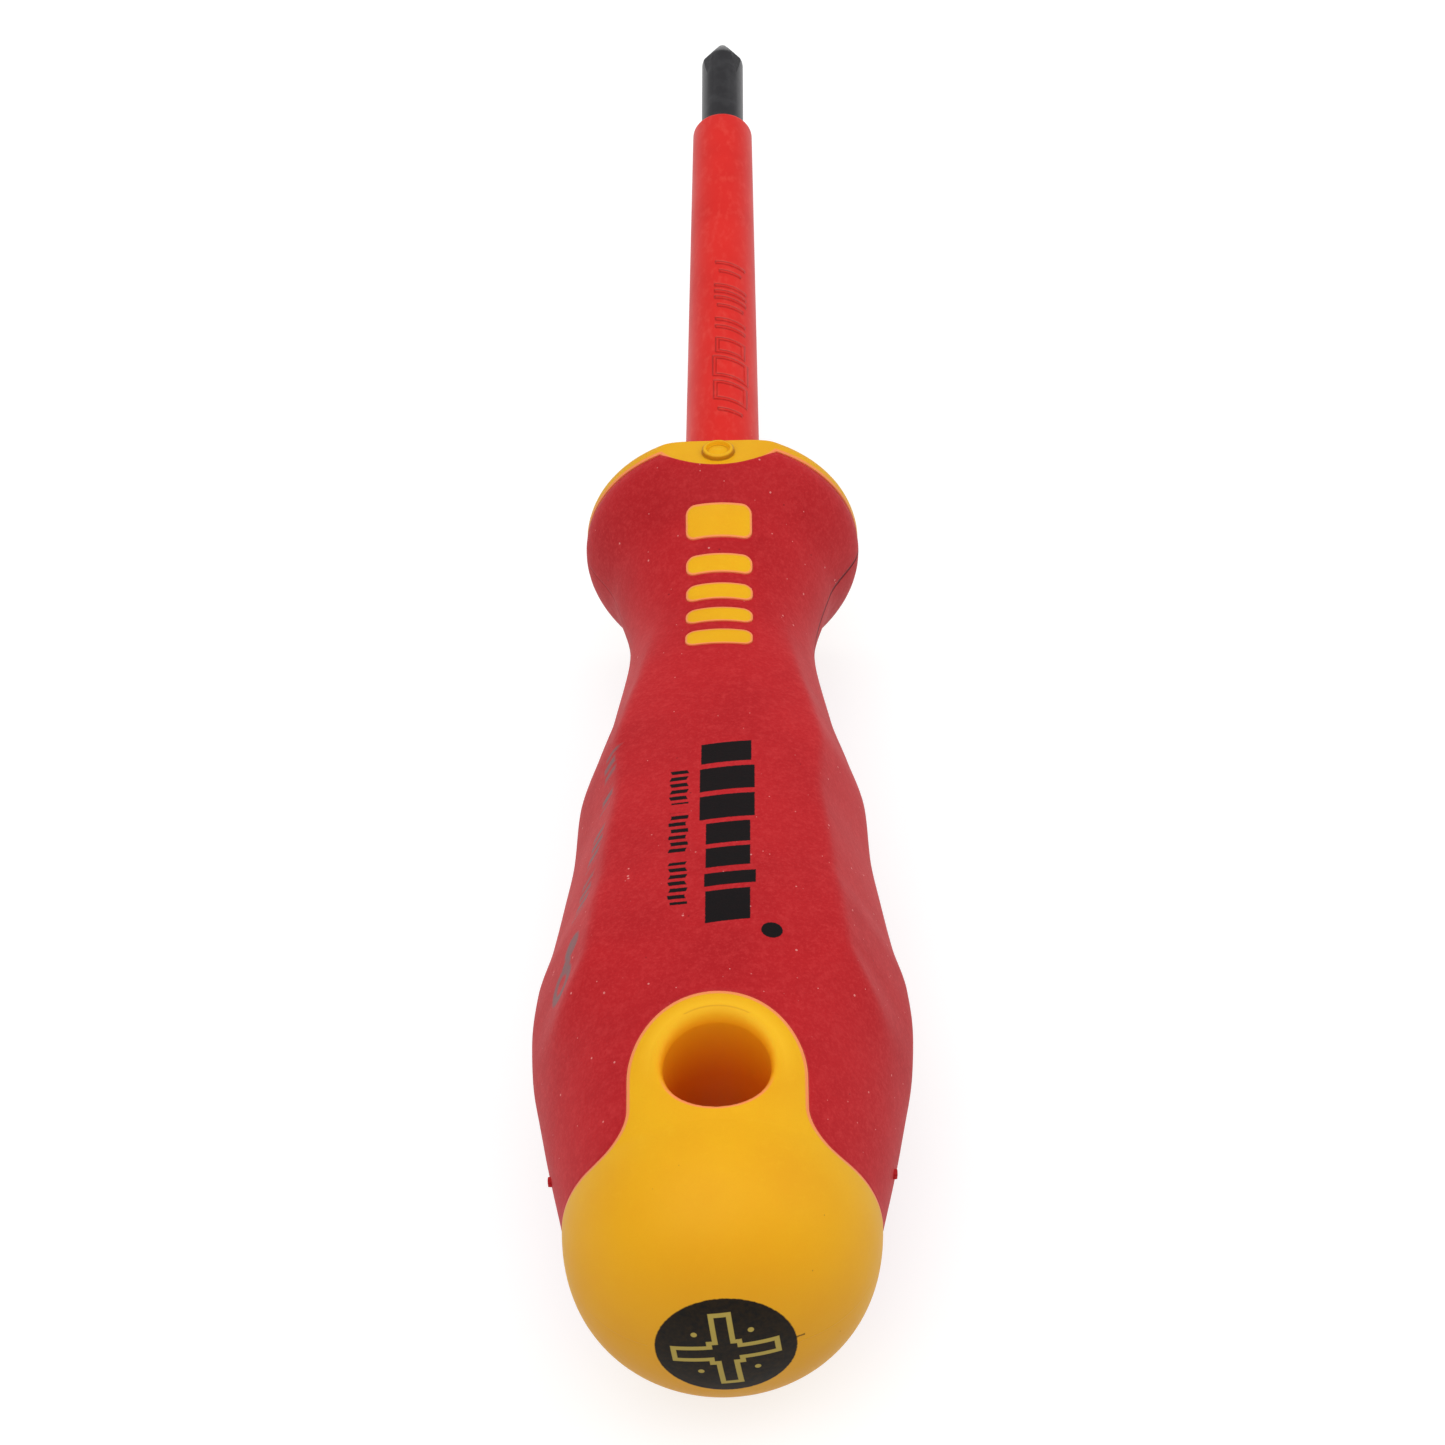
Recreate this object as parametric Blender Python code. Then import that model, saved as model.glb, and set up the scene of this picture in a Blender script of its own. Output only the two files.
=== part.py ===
# Fixed-blade insulated screwdriver: steel blade, insulating sleeve and a moulded handle in three layers.
# Metres, +Z up. The tool lies along Y with its tip at +Y, and the hanging hole runs along Z.
# Shapes are drawn in tool coordinates: Y runs from the butt along the axis, X and Z are measured from it.

import math

import bpy

MM = 0.001

# Overall
HANDLE_LENGTH = 105.0 * MM
BLADE_REACH = 80.0 * MM
BARE_STEEL = 15.6 * MM
FIT_GAP = 0.3 * MM

# Steel blade
SHANK_RADIUS = 2.25 * MM
TIP_CONE_LENGTH = 3.1 * MM
TIP_END_RADIUS = 0.55 * MM
FLUTE_LENGTH = 6.5 * MM
FLUTE_VALLEY_RADIUS = 0.42 * MM
ANCHOR_SPREAD = 1.35 * MM
ANCHOR_HALF_THICKNESS = 1.3 * MM
ANCHOR_FLAT_LENGTH = 9.0 * MM
ANCHOR_BLEND = 4.0 * MM
ANCHOR_END_STUB = 5.0 * MM

# Insulating sleeve
SLEEVE_TIP_WALL = 0.93 * MM
SLEEVE_HANDLE_WALL = 1.6 * MM
SLEEVE_SHOULDER = 0.5 * MM
SLEEVE_DEPTH_IN_HANDLE = 25.0 * MM

# Handle outline seen from above, half widths
BUTT_RADIUS = 14.0 * MM
BUTT_DOME_DEPTH = 14.0 * MM
BUTT_DOME_POWER = 2.35
BELLY_FROM_BUTT = 36.5 * MM
BELLY_HALF_WIDTH = 17.2 * MM
NECK_FROM_FRONT = 18.5 * MM
NECK_RADIUS = 8.95 * MM
GUARD_FROM_FRONT = 3.2 * MM
GUARD_RADIUS = 13.5 * MM
FRONT_FACE_RADIUS = 13.0 * MM
# Share of the way from one named place to the next, and share of the change in half width there.
# The waist has two soft creases, where its thumb hollows end.
REAR_SHAPE = ((0.44, 0.56),)
WAIST_SHAPE = ((0.09, 0.04), (0.19, 0.183), (0.31, 0.308), (0.43, 0.412), (0.56, 0.458), (0.67, 0.62),
               (0.79, 0.818))
FLANK_SHAPE = ((0.56, 0.36),)

# Handle outline seen from the side, half heights
CROWN_FROM_BUTT = 34.0 * MM
CROWN_HALF_HEIGHT = 15.75 * MM
CROWN_REAR_SHAPE = ((0.5, 0.78),)
CROWN_FRONT_SHAPE = ((0.3, 0.235), (0.57, 0.5), (0.8, 0.8))

# Handle section: arched top and bottom faces, and two faces on each side that meet at the parting line.
# Distances and arch radii are shares of the half width. The tilt of the side faces, in degrees, changes
# along the handle, given as distance from the butt and tilt, and a face stands further out as it tilts.
TOP_ARCH_RADIUS = 1.92
SIDE_TILTS = ((20.0 * MM, 76.0), (30.0 * MM, 72.5), (36.0 * MM, 66.3), (41.0 * MM, 65.2), (50.0 * MM, 67.5),
              (62.0 * MM, 68.0), (72.0 * MM, 70.0), (82.0 * MM, 74.0))
SIDE_FACE_DISTANCE = 0.945
SIDE_DISTANCE_PER_DEGREE = 0.0068
FLATTEST_TILT = 65.0
SIDE_ARCH_RADIUS = 5.0
EDGE_SHARPNESS = 80.0
PARTING_SHARPNESS = 30.0
OVAL_CAP_AT_BUTT = 1.02
OVAL_CAP_AHEAD = 1.12
CAP_LIFTS_FROM_BUTT = 27.0 * MM
CAP_LIFTED_FROM_BUTT = 37.0 * MM
SQUARE_STARTS_FROM_BUTT = 20.0 * MM
SQUARE_FULL_FROM_BUTT = 30.0 * MM
SQUARE_ENDS_FROM_NECK = 14.0 * MM

# Moulded layers
GRIP_WALL = 2.2 * MM
BUTT_CAP_LENGTH = 13.6 * MM
COLLAR_LENGTH = 2.1 * MM
SCALLOP_DEPTH = 2.8 * MM
SCALLOP_HALF_WIDTH = 5.7 * MM
COLLAR_FLAT_HEIGHT = 12.2 * MM
COLLAR_FLAT_SLOPE = math.radians(9.3)
INNER_CORE_WALL = 1.8 * MM
INNER_CORE_CHAMFER = 1.0 * MM
CORE_WALL_AT_HOLE = 3.5 * MM

# Hanging hole and the keyhole surround
HOLE_FROM_BUTT = 20.4 * MM
HOLE_RADIUS = 4.7 * MM
HOLE_RIM = 1.2 * MM
HOLE_RIM_BELOW_FACE = 2.4 * MM
SURROUND_RADIUS = 7.85 * MM
SURROUND_BEHIND_HOLE = 0.6 * MM
SURROUND_FILLET = 3.4 * MM

# Pads of the core that show through the neck: distance behind the collar, and length along the axis
PAD_HALF_WIDTH = 3.2 * MM
PAD_CORNER = 0.9 * MM
PAD_BARS = ((8.2 * MM, 3.6 * MM), (13.0 * MM, 2.2 * MM), (16.6 * MM, 2.2 * MM), (20.2 * MM, 2.2 * MM),
            (23.9 * MM, 2.4 * MM))

# Mesh fineness
SEGMENTS = 36
BLADE_SEGMENTS = 24
STATION_SPACING = 4.0 * MM
DOME_STATIONS = 7
FILLET_STEPS = 5
REACH_PAST = 10.0 * MM

SLEEVE_TIP_RADIUS = SHANK_RADIUS + SLEEVE_TIP_WALL
SLEEVE_HANDLE_RADIUS = SHANK_RADIUS + SLEEVE_HANDLE_WALL
ANCHOR_HALF_WIDTH = SHANK_RADIUS + ANCHOR_SPREAD
INNER_CORE_RADIUS = ANCHOR_HALF_WIDTH + INNER_CORE_WALL
COLLAR_START = HANDLE_LENGTH - COLLAR_LENGTH
TOOL_LENGTH = HANDLE_LENGTH + BLADE_REACH
SLEEVE_START = HANDLE_LENGTH - SLEEVE_DEPTH_IN_HANDLE
SLEEVE_END = TOOL_LENGTH - BARE_STEEL
INNER_CORE_START = HOLE_FROM_BUTT + HOLE_RADIUS + CORE_WALL_AT_HOLE + FIT_GAP
INNER_CORE_END = SLEEVE_START - FIT_GAP
ANCHOR_END = INNER_CORE_START + CORE_WALL_AT_HOLE


def smooth_value(points, place):
    # A smooth curve through the points that never overshoots them
    spans = [(b[0] - a[0], (b[1] - a[1]) / (b[0] - a[0])) for a, b in zip(points, points[1:])]
    slopes = [spans[0][1]]
    for (before, left), (after, right) in zip(spans, spans[1:]):
        if left * right <= 0:
            slopes.append(0.0)
            continue
        weight_left = 2 * after + before
        weight_right = after + 2 * before
        slopes.append((weight_left + weight_right) / (weight_left / left + weight_right / right))
    slopes.append(spans[-1][1])
    index = 0
    while index < len(spans) - 1 and place > points[index + 1][0]:
        index += 1
    width = spans[index][0]
    t = (place - points[index][0]) / width
    start, end = points[index][1], points[index + 1][1]
    return (start * (1 + 2 * t) * (1 - t) ** 2 + slopes[index] * width * t * (1 - t) ** 2
            + end * t * t * (3 - 2 * t) - slopes[index + 1] * width * t * t * (1 - t))


def ramp(start, end, place):
    t = min(max((place - start) / (end - start), 0.0), 1.0)
    return t * t * (3 - 2 * t)


def between(start, end, shape):
    return [(start[0] + (end[0] - start[0]) * along, start[1] + (end[1] - start[1]) * change)
            for along, change in shape]


def handle_outlines():
    butt = (BUTT_DOME_DEPTH, BUTT_RADIUS)
    belly = (BELLY_FROM_BUTT, BELLY_HALF_WIDTH)
    crown = (CROWN_FROM_BUTT, CROWN_HALF_HEIGHT)
    neck = (HANDLE_LENGTH - NECK_FROM_FRONT, NECK_RADIUS)
    guard = (HANDLE_LENGTH - GUARD_FROM_FRONT, GUARD_RADIUS)
    front = (HANDLE_LENGTH, FRONT_FACE_RADIUS)
    ahead = [neck] + between(neck, guard, FLANK_SHAPE) + [guard, front]
    widths = [butt] + between(butt, belly, REAR_SHAPE) + [belly] + between(belly, neck, WAIST_SHAPE) + ahead
    heights = ([butt] + between(butt, crown, CROWN_REAR_SHAPE) + [crown]
               + between(crown, neck, CROWN_FRONT_SHAPE) + ahead)
    return widths, heights


HALF_WIDTHS, HALF_HEIGHTS = handle_outlines()


def outline_value(points, place):
    if place >= BUTT_DOME_DEPTH:
        return smooth_value(points, place)
    inward = 1 - place / BUTT_DOME_DEPTH
    return BUTT_RADIUS * (1 - inward ** BUTT_DOME_POWER) ** (1 / BUTT_DOME_POWER)


def squareness(place):
    neck = HANDLE_LENGTH - NECK_FROM_FRONT
    rising = ramp(SQUARE_STARTS_FROM_BUTT, SQUARE_FULL_FROM_BUTT, place)
    return rising * (1 - ramp(neck - SQUARE_ENDS_FROM_NECK, neck, place))


def face_distance(turn, distance, arch):
    # Distance from the axis to an arched face, at a turn from the direction that it faces
    centre = arch - distance
    return math.sqrt(arch ** 2 - (centre * math.sin(turn)) ** 2) - centre * math.cos(turn)


def side_faces(place):
    # Tilt of the side faces, and their distance from the axis as a share of the half width
    tilt = smooth_value(SIDE_TILTS, min(max(place, SIDE_TILTS[0][0]), SIDE_TILTS[-1][0]))
    return math.radians(tilt), SIDE_FACE_DISTANCE + SIDE_DISTANCE_PER_DEGREE * (tilt - FLATTEST_TILT)


def nearest_of(distances, scale, sharpness):
    # The least of some distances, rounded off where two are alike
    return scale * sum((scale / distance) ** sharpness for distance in distances) ** (-1 / sharpness)


def section_radius(angle, place):
    # The angle runs round the axis from the top
    up = min(angle % math.pi, math.pi - angle % math.pi)
    wide = outline_value(HALF_WIDTHS, place)
    high = outline_value(HALF_HEIGHTS, place)
    oval = wide * high / math.hypot(wide * math.cos(up), high * math.sin(up))
    tilt, distance = side_faces(place)
    sides = [face_distance(up - turn, distance * wide, SIDE_ARCH_RADIUS * wide)
             for turn in (tilt, math.pi - tilt)]
    side = nearest_of(sides, wide, PARTING_SHARPNESS)
    top = face_distance(up, high, TOP_ARCH_RADIUS * wide)
    lift = ramp(CAP_LIFTS_FROM_BUTT, CAP_LIFTED_FROM_BUTT, place)
    cap = oval * (OVAL_CAP_AT_BUTT + (OVAL_CAP_AHEAD - OVAL_CAP_AT_BUTT) * lift)
    squared = nearest_of((top, side, cap), wide, EDGE_SHARPNESS)
    share = squareness(place)
    return oval + share * (squared - oval)


def handle_ring(place, inset=0.0):
    ring = []
    for step in range(SEGMENTS):
        angle = 2 * math.pi * step / SEGMENTS
        radius = section_radius(angle, place) - inset
        ring.append((radius * math.sin(angle), place, radius * math.cos(angle)))
    return ring


def handle_stations(start, end):
    stations = [CROWN_FROM_BUTT]
    for (first, _), (second, _) in zip(HALF_WIDTHS, HALF_WIDTHS[1:]):
        steps = math.ceil((second - first) / STATION_SPACING)
        stations += [first + (second - first) * step / steps for step in range(steps)]
    stations += [HANDLE_LENGTH, COLLAR_START]
    for step in range(1, DOME_STATIONS):
        turn = 0.5 * math.pi * step / DOME_STATIONS
        stations.append(BUTT_DOME_DEPTH * (1 - math.cos(turn) ** (2 / BUTT_DOME_POWER)))
    inside = [place for place in stations if start < place < end]
    return [start] + sorted(inside) + [end]


def make_object(name, verts, faces):
    mesh = bpy.data.meshes.new(name)
    mesh.from_pydata(verts, [], faces)
    mesh.update()
    thing = bpy.data.objects.new(name, mesh)
    bpy.context.collection.objects.link(thing)
    thing.parent = tool_axis
    return thing


def loft(name, rings, pole=None):
    # Rings run towards +Y. A pole closes the first ring to a point, else both ends are flat.
    count = len(rings[0])
    verts = [point for ring in rings for point in ring]
    faces = []
    for row in range(len(rings) - 1):
        for step in range(count):
            after = (step + 1) % count
            near, far = row * count, (row + 1) * count
            faces.append((near + step, near + after, far + after, far + step))
    if pole is None:
        faces.append(tuple(range(count - 1, -1, -1)))
    else:
        verts.append(pole)
        faces += [(len(verts) - 1, (step + 1) % count, step) for step in range(count)]
    last = (len(rings) - 1) * count
    faces.append(tuple(last + step for step in range(count)))
    return make_object(name, verts, faces)


def round_ring(place, radius, segments=SEGMENTS, thickness=None):
    thickness = thickness or radius
    turns = [2 * math.pi * step / segments for step in range(segments)]
    return [(radius * math.sin(turn), place, thickness * math.cos(turn)) for turn in turns]


def tube(name, profile, segments):
    # The profile is a closed loop of (place, radius) turned about the axis, its outer side towards +Y
    count = len(profile)
    verts = [point for place, radius in profile for point in round_ring(place, radius, segments)]
    faces = []
    for row in range(count):
        near, far = row * segments, (row + 1) % count * segments
        for step in range(segments):
            after = (step + 1) % segments
            faces.append((near + step, near + after, far + after, far + step))
    return make_object(name, verts, faces)


def upright_prism(name, outline, low, high):
    # The outline is a list of (x, y) seen from above, anticlockwise. Low and high give the height at y.
    count = len(outline)
    verts = [(x, y, low(y)) for x, y in outline] + [(x, y, high(y)) for x, y in outline]
    faces = [tuple(range(count - 1, -1, -1)), tuple(range(count, 2 * count))]
    faces += [(step, (step + 1) % count, count + (step + 1) % count, count + step)
              for step in range(count)]
    return make_object(name, verts, faces)


def arc(centre, radius, start, end, steps):
    turns = [start + (end - start) * step / steps for step in range(steps + 1)]
    return [(centre[0] + radius * math.cos(turn), centre[1] + radius * math.sin(turn)) for turn in turns]


def hide_as_cutter(thing):
    thing.hide_render = True
    thing.display_type = 'WIRE'
    return thing


def combine(target, other, operation):
    modifier = target.modifiers.new(other.name, 'BOOLEAN')
    modifier.operation = operation
    modifier.solver = 'EXACT'
    modifier.object = hide_as_cutter(other)


def finish(thing, colour, roughness, metallic=0.0):
    material = bpy.data.materials.new(thing.name)
    material.use_nodes = True
    shader = material.node_tree.nodes["Principled BSDF"]
    shader.inputs["Base Color"].default_value = (*colour, 1.0)
    shader.inputs["Roughness"].default_value = roughness
    shader.inputs["Metallic"].default_value = metallic
    thing.data.materials.append(material)
    thing.data.shade_smooth()
    thing.data.set_sharp_from_angle(angle=math.radians(35))


def shank_rings(grow):
    # From the end inside the handle: a round stub, the flattened anchor, then the round shank
    flat_start = ANCHOR_END + ANCHOR_END_STUB + ANCHOR_BLEND
    flat_end = flat_start + ANCHOR_FLAT_LENGTH
    rounded = (SHANK_RADIUS + grow, SHANK_RADIUS + grow)
    flattened = (ANCHOR_HALF_WIDTH + grow, ANCHOR_HALF_THICKNESS + grow)
    stations = [(ANCHOR_END - grow, rounded), (flat_start - ANCHOR_BLEND, rounded), (flat_start, flattened),
                (flat_end, flattened), (flat_end + ANCHOR_BLEND, rounded)]
    return [round_ring(place, size[0], BLADE_SEGMENTS, size[1]) for place, size in stations]


def flute_cutter(turn):
    # A long wedge whose edge is the valley of one flute
    rise = (SHANK_RADIUS - FLUTE_VALLEY_RADIUS) / FLUTE_LENGTH
    wide = 2 * SHANK_RADIUS
    verts = []
    for place in (TOOL_LENGTH - FLUTE_LENGTH - SHANK_RADIUS, TOOL_LENGTH + SHANK_RADIUS):
        valley = FLUTE_VALLEY_RADIUS + (TOOL_LENGTH - place) * rise
        for out, across in ((valley, 0.0), (valley + wide, wide), (valley + wide, -wide)):
            verts.append((out * math.sin(turn) + across * math.cos(turn), place,
                          out * math.cos(turn) - across * math.sin(turn)))
    faces = [(0, 1, 2), (5, 4, 3), (3, 4, 1, 0), (4, 5, 2, 1), (5, 3, 0, 2)]
    return make_object("flute_cutter", verts, faces)


def make_blade():
    rings = shank_rings(0.0)
    rings.append(round_ring(TOOL_LENGTH - TIP_CONE_LENGTH, SHANK_RADIUS, BLADE_SEGMENTS))
    rings.append(round_ring(TOOL_LENGTH, TIP_END_RADIUS, BLADE_SEGMENTS))
    blade = loft("blade", rings)
    for quarter in range(4):
        combine(blade, flute_cutter(math.pi / 4 + quarter * math.pi / 2), 'DIFFERENCE')
    finish(blade, (0.055, 0.052, 0.055), 0.38, 0.85)


def make_insulation():
    bore = SHANK_RADIUS + FIT_GAP
    profile = [(SLEEVE_START, bore), (SLEEVE_START, SLEEVE_HANDLE_RADIUS),
               (HANDLE_LENGTH, SLEEVE_HANDLE_RADIUS),
               (SLEEVE_END - SLEEVE_SHOULDER, SLEEVE_TIP_RADIUS),
               (SLEEVE_END - SLEEVE_SHOULDER * 0.3, SLEEVE_TIP_RADIUS - SLEEVE_SHOULDER * 0.3),
               (SLEEVE_END, SLEEVE_TIP_RADIUS - SLEEVE_SHOULDER), (SLEEVE_END, bore)]
    sleeve = tube("blade_insulation", profile, BLADE_SEGMENTS)
    finish(sleeve, (0.69, 0.04, 0.025), 0.42)


def make_inner_core():
    rings = [round_ring(INNER_CORE_START, INNER_CORE_RADIUS - INNER_CORE_CHAMFER, BLADE_SEGMENTS),
             round_ring(INNER_CORE_START + INNER_CORE_CHAMFER, INNER_CORE_RADIUS, BLADE_SEGMENTS),
             round_ring(INNER_CORE_END, INNER_CORE_RADIUS, BLADE_SEGMENTS)]
    core = loft("inner_core", rings)
    bore = shank_rings(FIT_GAP)
    bore.append(round_ring(INNER_CORE_END + REACH_PAST, SHANK_RADIUS + FIT_GAP, BLADE_SEGMENTS))
    combine(core, loft("shank_bore_cutter", bore), 'DIFFERENCE')
    finish(core, (0.12, 0.12, 0.13), 0.5)


def butt_zone(grow):
    # Seen from above: the whole butt, and the surround of the hanging hole reaching out of it
    side = SURROUND_RADIUS + grow
    edge = BUTT_CAP_LENGTH + grow
    fillet = SURROUND_FILLET - grow
    wide = BELLY_HALF_WIDTH + REACH_PAST
    outline = [(-wide, -REACH_PAST), (wide, -REACH_PAST), (wide, edge)]
    outline += arc((side + fillet, edge + fillet), fillet, 1.5 * math.pi, math.pi, FILLET_STEPS)
    outline += arc((0.0, HOLE_FROM_BUTT - SURROUND_BEHIND_HOLE), side, 0.0, math.pi, 4 * FILLET_STEPS)
    outline += arc((-side - fillet, edge + fillet), fillet, 0.0, -0.5 * math.pi, FILLET_STEPS)
    outline.append((-wide, edge))
    return upright_prism("butt_zone", outline, lambda y: -wide, lambda y: wide)


def collar_height(place):
    return COLLAR_FLAT_HEIGHT + (COLLAR_START - place) * math.tan(COLLAR_FLAT_SLOPE)


def collar_zone(grow):
    # Seen from above: the ring at the front, with a scallop that reaches back at its middle.
    # Its upper and lower ends are the collar's sloping flats; the cut for it in the grip goes past them.
    past = REACH_PAST if grow else 0.0
    edge = COLLAR_START - grow
    wide = BELLY_HALF_WIDTH + REACH_PAST
    far = HANDLE_LENGTH + REACH_PAST
    radius = (SCALLOP_HALF_WIDTH ** 2 + SCALLOP_DEPTH ** 2) / (2 * SCALLOP_DEPTH)
    centre = (0.0, COLLAR_START - SCALLOP_DEPTH + radius)
    turn = math.acos((centre[1] - edge) / (radius + grow))
    outline = [(wide, edge), (wide, far), (-wide, far), (-wide, edge)]
    outline += arc(centre, radius + grow, 1.5 * math.pi - turn, 1.5 * math.pi + turn, 2 * FILLET_STEPS)
    return upright_prism("collar_zone", outline, lambda y: -collar_height(y) - past,
                         lambda y: collar_height(y) + past)


def pad_zone(behind, length, grow):
    middle = COLLAR_START - behind
    across = PAD_HALF_WIDTH - PAD_CORNER
    along = length / 2 - PAD_CORNER
    corners = ((across, along, 0.0), (-across, along, 0.5), (-across, -along, 1.0), (across, -along, 1.5))
    outline = []
    for x, y, start in corners:
        outline += arc((x, middle + y), PAD_CORNER + grow, start * math.pi, (start + 0.5) * math.pi, 2)
    return upright_prism("pad_zone", outline, lambda y: 0.0, lambda y: GUARD_RADIUS + REACH_PAST)


def core_zones(grow):
    return ([butt_zone(grow), collar_zone(grow)]
            + [pad_zone(behind, length, grow) for behind, length in PAD_BARS])


def whole_skin(name):
    rings = [handle_ring(place) for place in handle_stations(0.0, HANDLE_LENGTH)[1:]]
    return loft(name, rings, (0.0, 0.0, 0.0))


def buried_skin(name, inset):
    # The core's surface under the grip, ending inside the butt and inside the collar
    start = BUTT_CAP_LENGTH / 2
    end = HANDLE_LENGTH - COLLAR_LENGTH / 2
    return loft(name, [handle_ring(place, inset) for place in handle_stations(start, end)])


def cavity_cutter():
    # Room for the inner core, then for the sleeve, open at the front
    wide = INNER_CORE_RADIUS + FIT_GAP
    narrow = SLEEVE_HANDLE_RADIUS + FIT_GAP
    start = INNER_CORE_START - FIT_GAP
    stations = [(start, wide - INNER_CORE_CHAMFER), (start + INNER_CORE_CHAMFER, wide),
                (INNER_CORE_END + FIT_GAP, wide), (INNER_CORE_END + FIT_GAP + wide - narrow, narrow),
                (HANDLE_LENGTH + REACH_PAST, narrow)]
    return loft("cavity_cutter", [round_ring(place, size, BLADE_SEGMENTS) for place, size in stations])


def hole_cutter():
    # Turned about the hole's own axis, flaring to a soft rim at both faces
    face = outline_value(HALF_HEIGHTS, HOLE_FROM_BUTT)
    rim_start = face - HOLE_RIM_BELOW_FACE
    outer = HOLE_RADIUS + HOLE_RIM + REACH_PAST
    heights = [(-face - REACH_PAST, outer), (-face, HOLE_RADIUS + HOLE_RIM), (-rim_start, HOLE_RADIUS),
               (rim_start, HOLE_RADIUS), (face, HOLE_RADIUS + HOLE_RIM), (face + REACH_PAST, outer)]
    cutter = loft("hole_cutter", [round_ring(place, size) for place, size in heights])
    cutter.location = (0.0, HOLE_FROM_BUTT, 0.0)
    cutter.rotation_euler = (math.pi / 2, 0.0, 0.0)
    return cutter


def make_handle_core():
    core = buried_skin("handle_core", GRIP_WALL)
    for zone in core_zones(0.0):
        combine(zone, whole_skin("zone_skin"), 'INTERSECT')
        combine(core, zone, 'UNION')
    combine(core, cavity_cutter(), 'DIFFERENCE')
    combine(core, hole_cutter(), 'DIFFERENCE')
    finish(core, (0.87, 0.44, 0.02), 0.4)


def make_soft_grip():
    grip = whole_skin("soft_grip")
    combine(grip, buried_skin("grip_bore_cutter", GRIP_WALL - FIT_GAP), 'DIFFERENCE')
    for zone in core_zones(FIT_GAP):
        combine(grip, zone, 'DIFFERENCE')
    finish(grip, (0.51, 0.03, 0.035), 0.62)


for old in list(bpy.data.objects):
    bpy.data.objects.remove(old, do_unlink=True)
tool_axis = bpy.data.objects.new("tool_axis", None)
bpy.context.collection.objects.link(tool_axis)
tool_axis.location = (0.0, -TOOL_LENGTH / 2, CROWN_HALF_HEIGHT)

make_blade()
make_insulation()
make_inner_core()
make_handle_core()
make_soft_grip()
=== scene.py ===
import functools
import math

import bmesh
import bpy
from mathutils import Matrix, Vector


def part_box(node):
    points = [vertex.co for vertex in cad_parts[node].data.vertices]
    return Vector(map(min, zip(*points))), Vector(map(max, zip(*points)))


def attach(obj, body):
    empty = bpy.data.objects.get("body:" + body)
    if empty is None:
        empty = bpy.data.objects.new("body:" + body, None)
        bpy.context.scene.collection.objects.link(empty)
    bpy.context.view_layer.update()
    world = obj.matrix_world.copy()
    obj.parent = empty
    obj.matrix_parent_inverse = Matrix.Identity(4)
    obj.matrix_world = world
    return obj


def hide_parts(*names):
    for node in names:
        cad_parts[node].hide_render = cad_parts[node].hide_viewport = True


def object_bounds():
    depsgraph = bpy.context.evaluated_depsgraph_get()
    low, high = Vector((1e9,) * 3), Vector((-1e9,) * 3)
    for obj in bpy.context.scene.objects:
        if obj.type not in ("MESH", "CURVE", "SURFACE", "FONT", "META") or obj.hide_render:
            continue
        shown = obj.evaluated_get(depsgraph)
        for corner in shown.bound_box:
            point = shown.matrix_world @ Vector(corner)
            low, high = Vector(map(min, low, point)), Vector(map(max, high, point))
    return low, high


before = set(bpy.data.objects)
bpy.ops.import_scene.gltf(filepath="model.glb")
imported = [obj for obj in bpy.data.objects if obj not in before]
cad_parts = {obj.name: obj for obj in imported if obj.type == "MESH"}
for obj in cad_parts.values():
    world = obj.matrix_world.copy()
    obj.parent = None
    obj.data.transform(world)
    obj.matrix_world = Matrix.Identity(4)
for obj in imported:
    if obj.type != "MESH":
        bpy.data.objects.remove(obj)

cadLow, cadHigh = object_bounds()
mm = 0.001
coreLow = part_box("handle_core")[0]
axisHeight = (cadLow[2] + cadHigh[2]) / 2 / mm
buttAt = coreLow[1] / mm
print("frame loaded, axis height", round(axisHeight, 3), "butt at", round(buttAt, 3))

# Shapes are drawn in millimetres from the butt: y runs along the axis, x and z are measured from it.
handleForm = {
    "length": 105.0,
    "buttRadius": 14.0,
    "domeDepth": 14.0,
    "domePower": 2.35,
    "bellyFromButt": 36.5,
    "bellyHalfWidth": 17.2,
    "crownFromButt": 34.0,
    "crownHalfHeight": 15.75,
    "neckFromFront": 18.5,
    "neckRadius": 8.95,
    "guardFromFront": 3.2,
    "guardRadius": 13.5,
    "frontRadius": 13.0,
    "rearShape": ((0.44, 0.56),),
    "waistShape": ((0.09, 0.04), (0.19, 0.183), (0.31, 0.308), (0.43, 0.412), (0.56, 0.458), (0.67, 0.62),
                   (0.79, 0.818)),
    "flankShape": ((0.56, 0.36),),
    "crownRearShape": ((0.5, 0.78),),
    "crownFrontShape": ((0.3, 0.235), (0.57, 0.5), (0.8, 0.8)),
    "topArch": 1.92,
    "sideTilts": ((20.0, 76.0), (30.0, 72.5), (36.0, 66.3), (41.0, 65.2), (50.0, 67.5), (62.0, 68.0),
                  (72.0, 70.0), (82.0, 74.0)),
    "sideDistance": 0.945,
    "distancePerDegree": 0.0068,
    "flattestTilt": 65.0,
    "sideArch": 5.0,
    "edgeSharpness": 80.0,
    "partingSharpness": 30.0,
    "ovalCap": (1.02, 1.12),
    "capLifts": (27.0, 37.0),
    "squareStarts": 20.0,
    "squareFull": 30.0,
    "squareEndsFromNeck": 14.0,
}


def ramp(start, end, place):
    t = min(max((place - start) / (end - start), 0.0), 1.0)
    return t * t * (3 - 2 * t)


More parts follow.
